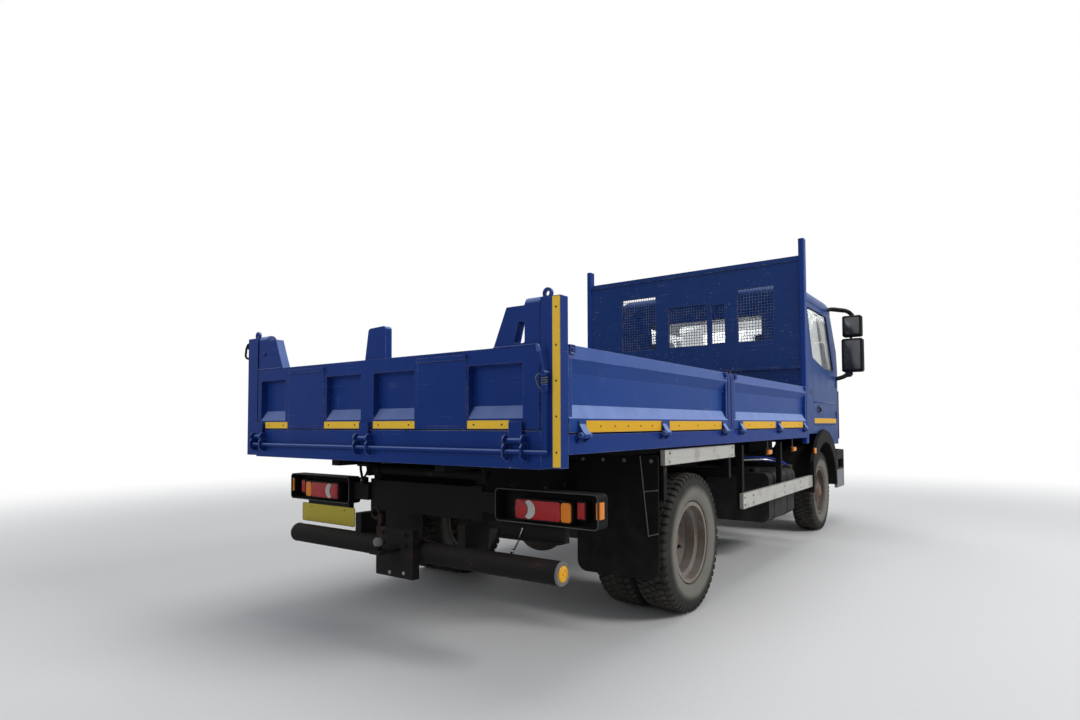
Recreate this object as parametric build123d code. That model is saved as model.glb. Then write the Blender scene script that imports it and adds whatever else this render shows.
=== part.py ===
"""Light dropside tipper lorry with a day cab and twin rear wheels.

Millimetres. X runs forward and is measured from the rear face of the body's corner
posts, Y runs to the left and Z up from the ground. At export everything is moved so
that the origin lies on the ground under the middle of the lorry.
"""
import math
import os

from build123d import *

# Overall sizes
REAR_AXLE_X = 1476
WHEELBASE = 3540
FRONT_OVERHANG = 1174     # from the front axle to the bumper's face
FRONT_AXLE_X = REAR_AXLE_X + WHEELBASE
FRONT_REACH = FRONT_AXLE_X + FRONT_OVERHANG
REAR_REACH = -46          # rearmost point, the latch ears behind the rear beam
BODY_WIDTH = 2300
HALF = BODY_WIDTH / 2
CLEAR = 6                 # gap between pieces that move past each other
SEAT = 0.3                # gap between curved pieces that seat on each other

# Wheels
TYRE_RADIUS = 404
TYRE_WIDTH = 214
TYRE_FACES = 40           # flat faces round a tyre
BEAD_RADIUS = 222
FLANGE_RADIUS = 235
RIM_HALF_WIDTH = 86
RIM_WALL = 9
HAND_HOLES = 8
HAND_HOLE_REACH = 168     # from the axle to a hand hole's middle
HAND_HOLE_RADIUS = 14
FRONT_TRACK_HALF = 923
TWIN_SPACING = 246
REAR_TRACK_HALF = 870     # plane where the twin wheels' discs meet
KINGPIN_Y = 785
KINGPIN_RADIUS = 18
STEER_ARM = 150
SPINDLE_RADIUS = 30

# Chassis frame
RAIL_OUTER = 430
RAIL_FLANGE = 65
RAIL_TOP = 785
RAIL_DEPTH = 185
RAIL_WALL = 7
RAIL_REAR = 352
RAIL_FRONT = FRONT_REACH - 205
SUBFRAME_TOP = 865
HEADBOARD_X = 3940
SUBFRAME_FRONT = HEADBOARD_X + 120

# Tipping body
FLOOR_TOP = 1070
FLOOR_PLATE = 6
FLOOR_BOTTOM = FLOOR_TOP - FLOOR_PLATE
BEARER_BOTTOM = 976
LONG_BOTTOM = 876
POST_WIDTH = 99
POST_DEPTH = 56
POST_TOP = 1623
POST_BOTTOM = 920
BEAM_DEPTH = 80
BEAM_BOTTOM = 913
SIDE_RAIL_BOTTOM = 974
SIDE_RAIL_TOP = 1056
SIDE_RAIL_WIDTH = 60
SIDE_TOP = 1429
SIDE_BOTTOM = 1063
SIDE_THICK = 52
MID_POST = (1927, 2041)
HEAD_POST_DEPTH = 90
HEAD_POST_WIDTH = 50
HEAD_POST_TOP = 2781
HEAD_PANEL_TOP = 2628
HEAD_PANEL_LIP = 1601
HEAD_LOWER = (HEADBOARD_X + 34, HEADBOARD_X + 64)    # lower panel, its rear and front face
TIP_X = 380
TIP_Z = 835
TIP_PIN = 18

# Tailgate
GATE_GAP = 8              # between the gate and a corner post
GATE_HALF = HALF - POST_WIDTH - GATE_GAP
GATE_BOTTOM = FLOOR_TOP + 8
GATE_TOP = 1430
GATE_REAR = 2
GATE_FRONT = 58
GATE_PIN_X = 40
GATE_PIN_Z = 1600
GATE_PIN_RADIUS = 14
GATE_TUBE = 34            # outer radius of the hinge tubes on the arms
GATE_PLATE = 4            # flat plates welded on between the bays

# Lifting ram: upright at rest, four stages
RAM_X = 1900
RAM_PIVOT_Z = 720
RAM_HEAD_Z = 930
RAM_BARREL = (498, 850)
RAM_STAGE_RADII = (66, 55, 44, 33)
RAM_BARREL_RADIUS = 78
SHAFT_RADIUS = 34
DIFF_NOSE = 250
RAM_GAP = 1
RAM_HEAD_RADIUS = 32

# Side hinges
HINGE_Y = HALF + 22
HINGE_Z = 1053
HINGE_PIN = 8
HINGE_KNUCKLE = 14
HINGE_SPAN = 46           # length of a knuckle along X

# Cab
CAB_REAR = FRONT_AXLE_X - 596
CAB_NOSE = FRONT_REACH - 60
GEARBOX_REAR = CAB_REAR - 70
CAB_HALF = 1050
CAB_WALL = 45
CAB_FLOOR_TOP = 1100
CAB_FLOOR_THICK = 40
TUNNEL_HALF = 390
TUNNEL_TOP = 1260
CAB_TILT_X = FRONT_REACH - 110
CAB_TILT_Z = 740
CAB_PIN = 15
BUMPER_REAR = FRONT_AXLE_X + 544
BUMPER_WALL = 30
BUMPER_HALF = CAB_HALF + 26
BUMPER_Z = (390, 800)
WAIST_Z = 1560
DOOR_TOP = 2350
DOOR_REAR = CAB_REAR + 220
DOOR_FRONT = CAB_NOSE - 430
DOOR_BOTTOM = 1080
DOOR_HINGE_X = DOOR_FRONT - CLEAR / 2
DOOR_HINGE_Y = CAB_HALF + 1
DOOR_HINGES = (1190, 1540)
DOOR_KNUCKLE = 9
DOOR_PIN = 4
ARCH_RADIUS = 634         # wheel arch cut in the cab's side
GLASS = 6
WIDE = CAB_HALF + 150     # cutters reach this far to each side of the cab
AHEAD = CAB_NOSE + 70     # and this far forward
BEHIND = CAB_REAR - 120   # and back

CENTRE_X = (REAR_REACH + FRONT_REACH) / 2
NODES = {}


def block(x, y, z):
    """Box between the low and high value of each axis."""
    size = (x[1] - x[0], y[1] - y[0], z[1] - z[0])
    middle = ((x[0] + x[1]) / 2, (y[0] + y[1]) / 2, (z[0] + z[1]) / 2)
    return Pos(*middle) * Box(*size)


def outline(points, radius=0):
    """Closed flat face through the points, with its corners rounded."""
    face = make_face(Polyline(*points, close=True))
    return fillet(face.vertices(), radius) if radius else face


def along_y(face, y):
    """Face drawn in X and Z, extruded from the low to the high Y."""
    plane = Plane(origin=(0, y[1], 0), x_dir=(1, 0, 0), z_dir=(0, -1, 0))
    return extrude(plane * face, y[1] - y[0])


def along_x(face, x):
    """Face drawn in Y and Z, extruded from the low to the high X."""
    plane = Plane(origin=(x[0], 0, 0), x_dir=(0, 1, 0), z_dir=(1, 0, 0))
    return extrude(plane * face, x[1] - x[0])


def along_z(face, z):
    """Face drawn in X and Y, extruded from the low to the high Z."""
    return extrude(Pos(0, 0, z[0]) * face, z[1] - z[0])


def bar(start, end, radius):
    """Round bar between two points."""
    start, end = Vector(*start), Vector(*end)
    way = end - start
    plane = Plane(origin=start, z_dir=way.normalized())
    return extrude(plane * Circle(radius), way.length)


def mirrored(shape):
    """The same shape on the other side of the lorry."""
    return mirror(shape, about=Plane.XZ)


def both(shape):
    return shape + mirrored(shape)


def joined(shapes):
    """One shape out of several that touch or stand apart."""
    shapes = list(shapes)
    whole = shapes[0]
    for shape in shapes[1:]:
        whole = whole + shape
    return whole


def node(name, *shapes):
    NODES[name] = joined(shapes)


def wheel_ring(profile, axle_x, track):
    """Profile of (radius, width) points turned about a wheel's axle on the left side."""
    ring = revolve(make_face(Polyline(*profile, close=True)), Axis.Y, 360)
    return Pos(axle_x, track, TYRE_RADIUS) * ring


def faceted_ring(profile, count, axle_x, track):
    """Ring of flat faces, each face's middle at the profile's radius, one of them lowest."""
    half_step = math.pi / count

    def corner(point, step):
        angle = (2 * step + 1) * half_step
        reach = point[0] / math.cos(half_step)
        return (axle_x + reach * math.cos(angle), track + point[1], TYRE_RADIUS + reach * math.sin(angle))

    edges = list(zip(profile, profile[1:] + profile[:1]))
    faces = []
    for step in range(count):
        for first, second in edges:
            loop = [corner(first, step), corner(second, step)]
            loop += [corner(second, step + 1), corner(first, step + 1)]
            faces.append(make_face(Polyline(*loop, close=True)))
    return Solid(Shell([part.face() for part in faces]))


def tyre(axle_x, track):
    """Closed ring with a flat tread, round shoulders and bulged walls."""
    half = TYRE_WIDTH / 2
    bead = BEAD_RADIUS + SEAT
    bead_half = RIM_HALF_WIDTH - RIM_WALL - SEAT
    wall = ((bead, bead_half), (FLANGE_RADIUS + 4, bead_half), (FLANGE_RADIUS + 8, half - 16),
            (310, half), (TYRE_RADIUS - 20, half - 10), (TYRE_RADIUS, half - 28))
    profile = list(wall) + [(radius, -width) for radius, width in reversed(wall)]
    return faceted_ring(profile, TYRE_FACES, axle_x, track)


def rim(axle_x, track, disc, dish, bore):
    """Drop-centre rim with its disc.

    disc is where the disc meets the axle, from the rim's middle, outward positive;
    dish is how far the disc cones towards the rim's middle on its way out.
    """
    edge = RIM_HALF_WIDTH
    inner = BEAD_RADIUS - RIM_WALL
    well = BEAD_RADIUS - 24
    section = ((FLANGE_RADIUS, edge), (FLANGE_RADIUS, edge - RIM_WALL), (BEAD_RADIUS, edge - RIM_WALL),
               (BEAD_RADIUS, 34), (well, 22), (well, -22), (BEAD_RADIUS, -34),
               (BEAD_RADIUS, RIM_WALL - edge), (FLANGE_RADIUS, RIM_WALL - edge), (FLANGE_RADIUS, -edge),
               (inner, -edge), (inner, -38), (well - RIM_WALL, -26), (well - RIM_WALL, 26),
               (inner, 38), (inner, edge))
    barrel = wheel_ring(section, axle_x, track)
    plate = ((bore, disc), (112, disc), (150, disc), (well - 4, disc + dish), (well - 4, disc + dish - 14),
             (150, disc - 14), (bore, disc - 14))
    return barrel + (wheel_ring(plate, axle_x, track) - hand_holes(axle_x, track))


def hand_holes(axle_x, track):
    """Round cutters through a wheel's disc, evenly round its axle."""
    cutters = []
    for number in range(HAND_HOLES):
        angle = math.tau * (number + 0.5) / HAND_HOLES
        x = axle_x + HAND_HOLE_REACH * math.cos(angle)
        z = TYRE_RADIUS + HAND_HOLE_REACH * math.sin(angle)
        cutters.append(bar((x, track - 130, z), (x, track + 60, z), HAND_HOLE_RADIUS))
    return cutters


def wheels():
    front_disc = 30
    node("front_tyre_left", tyre(FRONT_AXLE_X, FRONT_TRACK_HALF))
    hub = ((SPINDLE_RADIUS + 1, -41), (86, -41), (86, front_disc - 14), (112, front_disc - 14),
           (112, front_disc), (86, front_disc), (86, front_disc + 34), (52, front_disc + 62),
           (0, front_disc + 62), (0, front_disc + 48), (SPINDLE_RADIUS + 1, front_disc + 48))
    front = rim(FRONT_AXLE_X, FRONT_TRACK_HALF, front_disc, -22, 86)
    node("front_wheel_left", front, wheel_ring(hub, FRONT_AXLE_X, FRONT_TRACK_HALF))

    outer = REAR_TRACK_HALF + TWIN_SPACING / 2
    inner = REAR_TRACK_HALF - TWIN_SPACING / 2
    reach = TWIN_SPACING / 2
    node("rear_tyres_left", tyre(REAR_AXLE_X, outer), tyre(REAR_AXLE_X, inner))
    outer_rim = rim(REAR_AXLE_X, outer, -reach + 14, 84, 96)
    inner_rim = mirrored(rim(REAR_AXLE_X, -inner, -reach + 14, 84, 96))
    bore = SPINDLE_RADIUS + 16
    hub = ((bore, -172), (96, -172), (96, 70), (70, 96), (0, 96), (0, 84), (bore, 84))
    node("rear_wheels_left", outer_rim, inner_rim, wheel_ring(hub, REAR_AXLE_X, REAR_TRACK_HALF))
    for name in ("front_tyre", "front_wheel", "rear_tyres", "rear_wheels"):
        node(name + "_right", mirrored(NODES[name + "_left"]))


def leaf_spring(middle_x, half_span, sag, thick, top_z):
    """Pack of leaves as one bowed strip that stands thickest over the axle."""
    low = top_z - sag
    upper = ThreePointArc((middle_x - half_span, top_z), (middle_x, low), (middle_x + half_span, top_z))
    lower = ThreePointArc((middle_x + half_span, top_z - 12), (middle_x, low - thick),
                          (middle_x - half_span, top_z - 12))
    ends = [Line(upper @ 1, lower @ 0), Line(lower @ 1, upper @ 0)]
    strip = along_y(make_face([upper, ends[0], lower, ends[1]]), (RAIL_OUTER - 68, RAIL_OUTER - 2))
    hangers = [block((x - 22, x + 22), (RAIL_OUTER - 62, RAIL_OUTER - 8), (top_z - 20, RAIL_TOP - RAIL_DEPTH))
               for x in (middle_x - half_span + 22, middle_x + half_span - 22)]
    return joined([strip] + hangers)


def axles():
    rear_z = TYRE_RADIUS
    tube = bar((REAR_AXLE_X, -640, rear_z), (REAR_AXLE_X, 640, rear_z), 58)
    spindle = bar((REAR_AXLE_X, -940, rear_z), (REAR_AXLE_X, 940, rear_z), SPINDLE_RADIUS + 15)
    casing = Pos(REAR_AXLE_X, 0, rear_z) * Sphere(168)
    nose = bar((REAR_AXLE_X, 0, rear_z), (REAR_AXLE_X + DIFF_NOSE, 0, rear_z), 70)
    flanges = both(bar((REAR_AXLE_X, 625, rear_z), (REAR_AXLE_X, 641, rear_z), 172))
    node("rear_axle", tube, spindle, casing, nose, flanges)

    middle = outline([(-KINGPIN_Y, 374), (-600, 374), (-480, 300), (480, 300), (600, 374), (KINGPIN_Y, 374),
                      (KINGPIN_Y, 434), (590, 434), (470, 372), (-470, 372), (-590, 434), (-KINGPIN_Y, 434)])
    beam = along_x(middle, (FRONT_AXLE_X - 38, FRONT_AXLE_X + 38))
    eye = bar((FRONT_AXLE_X, KINGPIN_Y, 362), (FRONT_AXLE_X, KINGPIN_Y, 446), 40)
    pin = bar((FRONT_AXLE_X, KINGPIN_Y, 322), (FRONT_AXLE_X, KINGPIN_Y, 486), KINGPIN_RADIUS)
    pads = both(block((FRONT_AXLE_X - 60, FRONT_AXLE_X + 60), (RAIL_OUTER - 68, RAIL_OUTER - 2), (372, 420)))
    node("front_axle", beam, both(eye), both(pin), pads)
    rear_spring = leaf_spring(REAR_AXLE_X, 620, 70, 46, 578)
    front_spring = leaf_spring(FRONT_AXLE_X, 560, 60, 38, 518)
    node("leaf_springs", both(rear_spring), both(front_spring))

    web_y = (KINGPIN_Y + 40 + CLEAR, KINGPIN_Y + 76)
    lugs = [block((FRONT_AXLE_X - 40, FRONT_AXLE_X + 40), (KINGPIN_Y - 36, web_y[1]), z)
            for z in ((328, 357), (451, 480))]
    web = block((FRONT_AXLE_X - 40, FRONT_AXLE_X + 40), web_y, (328, 480))
    arm = block((FRONT_AXLE_X - STEER_ARM - 22, FRONT_AXLE_X), (KINGPIN_Y - 22, KINGPIN_Y + 22), (331, 353))
    hole = bar((FRONT_AXLE_X, KINGPIN_Y, 300), (FRONT_AXLE_X, KINGPIN_Y, 500), KINGPIN_RADIUS + 0.5)
    eye_x = FRONT_AXLE_X - STEER_ARM
    eye_hole = bar((eye_x, KINGPIN_Y, 300), (eye_x, KINGPIN_Y, 360), 10)
    spindle = bar((FRONT_AXLE_X, web_y[0], TYRE_RADIUS), (FRONT_AXLE_X, FRONT_TRACK_HALF + 60, TYRE_RADIUS),
                  SPINDLE_RADIUS)
    knuckle = joined(lugs + [web, arm, spindle]) - hole - eye_hole
    node("knuckle_left", knuckle)
    node("knuckle_right", mirrored(knuckle))
    rod_z = 306
    rod = bar((eye_x, -KINGPIN_Y, rod_z), (eye_x, KINGPIN_Y, rod_z), 14)
    ends = both(bar((eye_x, KINGPIN_Y, rod_z - 20), (eye_x, KINGPIN_Y, 329), 20))
    pins = both(bar((eye_x, KINGPIN_Y, rod_z), (eye_x, KINGPIN_Y, 352), 9.5))
    node("tie_rod", rod, ends, pins)


def channel(x, z):
    """Left frame rail, a channel with its web outside."""
    inner = RAIL_OUTER - RAIL_FLANGE
    face = outline([(inner, z[0]), (RAIL_OUTER, z[0]), (RAIL_OUTER, z[1]), (inner, z[1]),
                    (inner, z[1] - RAIL_WALL), (RAIL_OUTER - RAIL_WALL, z[1] - RAIL_WALL),
                    (RAIL_OUTER - RAIL_WALL, z[0] + RAIL_WALL), (inner, z[0] + RAIL_WALL)])
    return along_x(face, x)


def chassis():
    rail_z = (RAIL_TOP - RAIL_DEPTH, RAIL_TOP)
    nose_y, nose_z = (RAIL_OUTER - 40, RAIL_OUTER), (CAB_TILT_Z - 40, CAB_TILT_Z + 22)
    cab_pin = bar((CAB_TILT_X, nose_y[0], CAB_TILT_Z), (CAB_TILT_X, RAIL_OUTER + 52, CAB_TILT_Z), CAB_PIN)
    nose = block((RAIL_FRONT - 5, CAB_TILT_X + 20), nose_y, nose_z)
    horn_y = (RAIL_OUTER - 60, RAIL_OUTER - 10)
    horn = block((RAIL_FRONT - 5, FRONT_REACH), horn_y, (rail_z[0], rail_z[0] + 80))
    horn = horn & along_z(bumper_plan(BUMPER_WALL + SEAT), (0, 900))
    node("frame_rails", both(channel((RAIL_REAR, RAIL_FRONT), rail_z) + nose + cab_pin + horn))
    inner = RAIL_OUTER - RAIL_WALL
    members = ((RAIL_REAR, RAIL_REAR + 60), (1080, 1130), (1570, 1620), (2180, 2230), (3050, 3100),
               (CAB_REAR - 170, CAB_REAR - 120), (RAIL_FRONT - 70, RAIL_FRONT - 10))
    low, high = rail_z[0] + RAIL_WALL, rail_z[1] - RAIL_WALL
    node("crossmembers", *[block(x, (-inner, inner), (low, high)) for x in members])

    sub_inner = RAIL_OUTER - RAIL_FLANGE
    rail = block((TIP_X, SUBFRAME_FRONT), (sub_inner, RAIL_OUTER), (RAIL_TOP, SUBFRAME_TOP))
    eye = bar((TIP_X, sub_inner, TIP_Z), (TIP_X, RAIL_OUTER, TIP_Z), SUBFRAME_TOP - TIP_Z)
    ties = [block(x, (-sub_inner, sub_inner), (RAIL_TOP + 5, SUBFRAME_TOP - 5))
            for x in ((700, 760), (3000, 3060), (3980, 4040))]
    pivot_tube = bar((TIP_X, -sub_inner, TIP_Z), (TIP_X, sub_inner, TIP_Z), 24)
    pins = both(bar((TIP_X, RAIL_OUTER - 5, TIP_Z), (TIP_X, RAIL_OUTER + 46, TIP_Z), TIP_PIN))
    cradle_half = RAM_BARREL_RADIUS + 34
    cradle = [block(x, (-sub_inner, sub_inner), (RAIL_TOP + 5, SUBFRAME_TOP - 15))
              for x in ((RAM_X - 200, RAM_X - 160), (RAM_X + 160, RAM_X + 200))]
    ear_z = (RAM_PIVOT_Z - 40, RAIL_TOP + 60)
    ears = both(block((RAM_X - 200, RAM_X + 200), (cradle_half, cradle_half + 24), ear_z))
    pin_y = (RAM_BARREL_RADIUS + 12, cradle_half + 5)
    trunnions = both(bar((RAM_X, pin_y[0], RAM_PIVOT_Z), (RAM_X, pin_y[1], RAM_PIVOT_Z), 20))
    node("subframe", both(rail + eye), *ties, pivot_tube, pins, *cradle, ears, trunnions)


def ram():
    """Telescopic ram on trunnions, its head a ball under the body's floor."""
    low, high = RAM_BARREL
    collar = bar((RAM_X, 0, RAM_PIVOT_Z - 45), (RAM_X, 0, RAM_PIVOT_Z + 45), RAM_BARREL_RADIUS + 24)
    barrel = bar((RAM_X, 0, low), (RAM_X, 0, high), RAM_BARREL_RADIUS) + collar
    seats = bar((RAM_X, -200, RAM_PIVOT_Z), (RAM_X, 200, RAM_PIVOT_Z), 20.5)
    inner = RAM_STAGE_RADII[0] + RAM_GAP
    barrel = barrel - seats - bar((RAM_X, 0, low + 20), (RAM_X, 0, high + 5), inner)
    node("ram_barrel", barrel)
    foot, lip = low + 24, high + 14
    for number, radius in enumerate(RAM_STAGE_RADII, 1):
        body = bar((RAM_X, 0, foot), (RAM_X, 0, lip), radius)
        if number < len(RAM_STAGE_RADII):
            body = body - bar((RAM_X, 0, foot + 10), (RAM_X, 0, lip + 5), RAM_STAGE_RADII[number] + RAM_GAP)
        else:
            body = body + bar((RAM_X, 0, lip - 5), (RAM_X, 0, RAM_HEAD_Z), 20)
            body = body + Pos(RAM_X, 0, RAM_HEAD_Z) * Sphere(RAM_HEAD_RADIUS)
        node(f"ram_stage_{number}", body)
        foot, lip = foot + 12, lip + 12


def side_board(x, hinges):
    """Left hinged side board: box top rail, sunk web, sloping sill and bottom flange."""
    inner = HALF - SIDE_THICK
    web = HALF - 30
    face = outline([(inner, SIDE_BOTTOM), (HALF, SIDE_BOTTOM), (HALF, 1123), (web, 1180), (web, 1311),
                    (HALF, 1371), (HALF - 14, SIDE_TOP), (inner, SIDE_TOP)])
    ends = [block(e, (inner, HALF - 3), (SIDE_BOTTOM, SIDE_TOP - 12))
            for e in ((x[0], x[0] + 26), (x[1] - 26, x[1]))]
    board = joined([along_x(face, x)] + ends)
    for middle in hinges:
        span = (middle - HINGE_SPAN / 2, middle + HINGE_SPAN / 2)
        strap = block(span, (HALF - 2, HALF + 8), (SIDE_BOTTOM, 1112))
        lug = along_x(outline([(HALF, SIDE_BOTTOM), (HALF + 8, SIDE_BOTTOM - 2), (HINGE_Y, HINGE_Z),
                               (HINGE_Y + 6, HINGE_Z + 12), (HALF + 8, 1100), (HALF, 1100)]), span)
        knuckle = bar((span[0], HINGE_Y, HINGE_Z), (span[1], HINGE_Y, HINGE_Z), HINGE_KNUCKLE)
        bore = bar((span[0] - 5, HINGE_Y, HINGE_Z), (span[1] + 5, HINGE_Y, HINGE_Z), HINGE_PIN + 1)
        board = board + strap + lug + knuckle - bore
    return board


REAR_HINGES = (150, 950, 1830)
FRONT_HINGES = (2150, 3050, 3830)


def side_boards():
    rear = (POST_DEPTH + CLEAR, MID_POST[0] - CLEAR)
    front = (MID_POST[1] + CLEAR, HEADBOARD_X - CLEAR)
    for name, x, hinges in (("rear", rear, REAR_HINGES), ("front", front, FRONT_HINGES)):
        board = side_board(x, hinges)
        node(f"side_board_{name}_left", board)
        node(f"side_board_{name}_right", mirrored(board))


def side_rail():
    """Left side rail of the floor frame, with the ears and pins of the board hinges."""
    rail = block((POST_DEPTH, HEADBOARD_X), (HALF - SIDE_RAIL_WIDTH, HALF), (SIDE_RAIL_BOTTOM, SIDE_RAIL_TOP))
    for middle in REAR_HINGES + FRONT_HINGES:
        reach = HINGE_SPAN / 2 + 2
        face = outline([(HALF, HINGE_Z - 34), (HINGE_Y + 8, HINGE_Z - 12), (HINGE_Y + 12, HINGE_Z),
                        (HINGE_Y, HINGE_Z + 12), (HALF, SIDE_RAIL_TOP - 4)])
        for x in ((middle - reach - 9, middle - reach), (middle + reach, middle + reach + 9)):
            rail = rail + along_x(face, x)
        start, end = middle - reach - 4, middle + reach + 4
        rail = rail + bar((start, HINGE_Y, HINGE_Z), (end, HINGE_Y, HINGE_Z), HINGE_PIN)
    return rail


# Sunk bays of the gate and the flat plates between them, along Y
GATE_BAYS = ((760, GATE_HALF - 35), (90, 378), (-305, -8), (86 - GATE_HALF, -651))
GATE_PLATES = ((395, 721), (-643, -329))
LATCHES = (220 - HALF, 45, HALF - 152)    # middles of the three latches, along Y
LATCH_HALF = 34
LATCH_EAR = 48            # from a latch's middle to its ears
LATCH_TOP = 1020
LATCH_X = -22
LATCH_Z = 985
LATCH_RISE_Y = 64 - HALF
LEVER_TOP_Y = -19 - GATE_HALF    # just clear of the gate's edge


def gate_arm():
    """Left arm of the gate: sloped inside edge and the hinge tube along its top."""
    edge = outline([(GATE_HALF - 251, GATE_TOP - 4), (GATE_HALF - 176, 1601), (GATE_HALF, 1601),
                    (GATE_HALF, GATE_TOP - 4)])
    plate = along_x(edge, (GATE_REAR + 4, GATE_FRONT - 4))
    tube = bar((GATE_PIN_X, GATE_HALF - 78, GATE_PIN_Z), (GATE_PIN_X, GATE_HALF, GATE_PIN_Z), GATE_TUBE)
    bore = bar((GATE_PIN_X, GATE_HALF - 103, GATE_PIN_Z), (GATE_PIN_X, GATE_HALF + 17, GATE_PIN_Z),
               GATE_PIN_RADIUS + 0.6)
    return plate + tube - bore


def tailgate():
    """Top-hung gate: four sunk bays, plates between them, hinge arms, a centre tab and latch straps."""
    thick = (GATE_REAR, GATE_FRONT)
    gate = block(thick, (-GATE_HALF, GATE_HALF), (GATE_BOTTOM, GATE_TOP))
    floor = GATE_REAR + 40
    pocket = outline([(GATE_REAR - 5, 1118), (floor, 1180), (floor, 1360), (GATE_REAR - 5, 1360)])
    for bay in GATE_BAYS:
        gate = gate - along_y(pocket, bay)
    for plate in GATE_PLATES:
        gate = gate + block((GATE_REAR - GATE_PLATE, GATE_REAR + 1), plate, (1092, 1390))
        gate = gate + block((GATE_REAR - 3 * GATE_PLATE, GATE_REAR + 1), plate, (1390, 1412))
    tab = outline([(-89, GATE_TOP - 4), (69, GATE_TOP - 4), (42, 1590), (-88, 1596)])
    tab = along_x(fillet(tab.vertices().sort_by(Axis.Y)[-2:], 18), (10, 50))
    window = outline([(137 - GATE_HALF, 1442), (79 - GATE_HALF, 1442), (79 - GATE_HALF, 1533),
                      (113 - GATE_HALF, 1533)], 8)
    through = (GATE_REAR - 5, GATE_FRONT + 5)
    right_arm = mirrored(gate_arm()) - along_x(window, through)
    left_arm = gate_arm() - bar((through[0], GATE_HALF - 60, 1520), (through[1], GATE_HALF - 60, 1520), 8)
    straps = []
    for middle in LATCHES:
        span = (middle - LATCH_HALF, middle + LATCH_HALF)
        pad = block((GATE_REAR - 18, GATE_REAR - SEAT), span, (1090, 1112))
        straps.append(pad + block((GATE_REAR - 20, GATE_REAR - 12), span, (LATCH_TOP + 7, 1112)))
    node("tailgate", gate, tab, right_arm, left_arm, *straps)


def rear_post():
    post = block((0, POST_DEPTH), (HALF - POST_WIDTH, HALF), (POST_BOTTOM, POST_TOP))
    pin = bar((GATE_PIN_X, HALF - 178, GATE_PIN_Z), (GATE_PIN_X, HALF - 30, GATE_PIN_Z), GATE_PIN_RADIUS)
    eye_y, eye_z = HALF - 74, POST_TOP + 17
    eye = bar((14, eye_y, eye_z), (26, eye_y, eye_z), 24) - bar((0, eye_y, eye_z), (40, eye_y, eye_z), 11)
    return post + pin + (eye - block((0, 40), (0, HALF), (0, POST_TOP)))


def rear_beam():
    """Rear beam with three pairs of latch ears, the latch rod and its hand lever."""
    beam = block((0, BEAM_DEPTH), (POST_WIDTH - HALF, HALF - POST_WIDTH), (BEAM_BOTTOM, FLOOR_TOP + 2))
    side = outline([(1, 948), (-28, 948), (REAR_REACH, 966), (REAR_REACH, 1004), (-34, LATCH_TOP),
                    (1, LATCH_TOP)])
    ears = [along_y(side, (middle + offset - 4, middle + offset + 4))
            for middle in LATCHES for offset in (-LATCH_EAR, LATCH_EAR)]
    rod = bar((LATCH_X, LATCHES[2] + 60, LATCH_Z), (LATCH_X, LATCH_RISE_Y, LATCH_Z), 9)
    elbow = Pos(LATCH_X, LATCH_RISE_Y, LATCH_Z) * Sphere(11)
    riser = bar((LATCH_X, LATCH_RISE_Y, LATCH_Z), (LATCH_X, LATCH_RISE_Y, 1310), 8)
    pivot = bar((LATCH_X - 14, LATCH_RISE_Y, 1305), (0, LATCH_RISE_Y, 1305), 13)
    handle = bar((LATCH_X - 6, LATCH_RISE_Y, 1305), (LATCH_X - 15, LEVER_TOP_Y, 1425), 7)
    node("rear_beam", beam, *ears, rod, elbow, riser, pivot, handle)


def floor_frame():
    left = HALF - SIDE_RAIL_WIDTH
    node("floor_plate", block((BEAM_DEPTH, HEAD_LOWER[0]), (-left, left), (FLOOR_BOTTOM, FLOOR_TOP)))
    node("side_rails", both(side_rail()))
    starts = (300, 760, 1220, 1690, 2060, 2510, 2960, 3410, 3945)
    bearers = [block((x, x + 60), (-left, left), (BEARER_BOTTOM, FLOOR_BOTTOM)) for x in starts]
    inner = RAIL_OUTER - RAIL_FLANGE
    long = block((BEAM_DEPTH, HEADBOARD_X + 60), (inner, RAIL_OUTER), (LONG_BOTTOM, BEARER_BOTTOM))
    ear_y = (RAIL_OUTER + CLEAR, RAIL_OUTER + CLEAR + 22)
    ear = along_y(outline([(TIP_X - 60, BEARER_BOTTOM), (TIP_X - 34, TIP_Z - 34), (TIP_X + 34, TIP_Z - 34),
                           (TIP_X + 90, BEARER_BOTTOM)]), ear_y)
    web = block((TIP_X - 60, TIP_X + 90), (RAIL_OUTER - 5, ear_y[1]), (LONG_BOTTOM, BEARER_BOTTOM))
    hole = bar((TIP_X, RAIL_OUTER - 20, TIP_Z), (TIP_X, RAIL_OUTER + 60, TIP_Z), TIP_PIN + 0.5)
    cup = block((RAM_X - 60, RAM_X + 60), (-inner, inner), (RAM_HEAD_Z + 12, BEARER_BOTTOM))
    cup = cup - Pos(RAM_X, 0, RAM_HEAD_Z) * Sphere(RAM_HEAD_RADIUS + 1.5)
    node("floor_frame", *bearers, both(long + ear + web - hole), cup)
    half = HALF - HEAD_POST_WIDTH
    mid = block(MID_POST, (HALF - SIDE_THICK, HALF), (SIDE_RAIL_TOP, SIDE_TOP - 6))
    post = block((HEADBOARD_X, HEADBOARD_X + HEAD_POST_DEPTH), (half, HALF), (POST_BOTTOM, HEAD_POST_TOP))
    head_post = fillet(post.edges().filter_by(Axis.Z), 14)
    node("posts", both(rear_post()), both(mid), both(head_post))


# Openings of the headboard as (right edge, left edge, drop below the panel's top, rise above its lip)
HEAD_WINDOWS = ((329, 716, 207, 271), (-225, 183, 343, 275), (-406, -271, 363, 286), (-869, -533, 241, 280))


def head_window(x, row):
    right, left, drop, rise = row
    return block(x, (right, left), (HEAD_PANEL_LIP + rise, HEAD_PANEL_TOP - drop))


MESH_PITCH = 50
MESH_WIRE = 5


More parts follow.
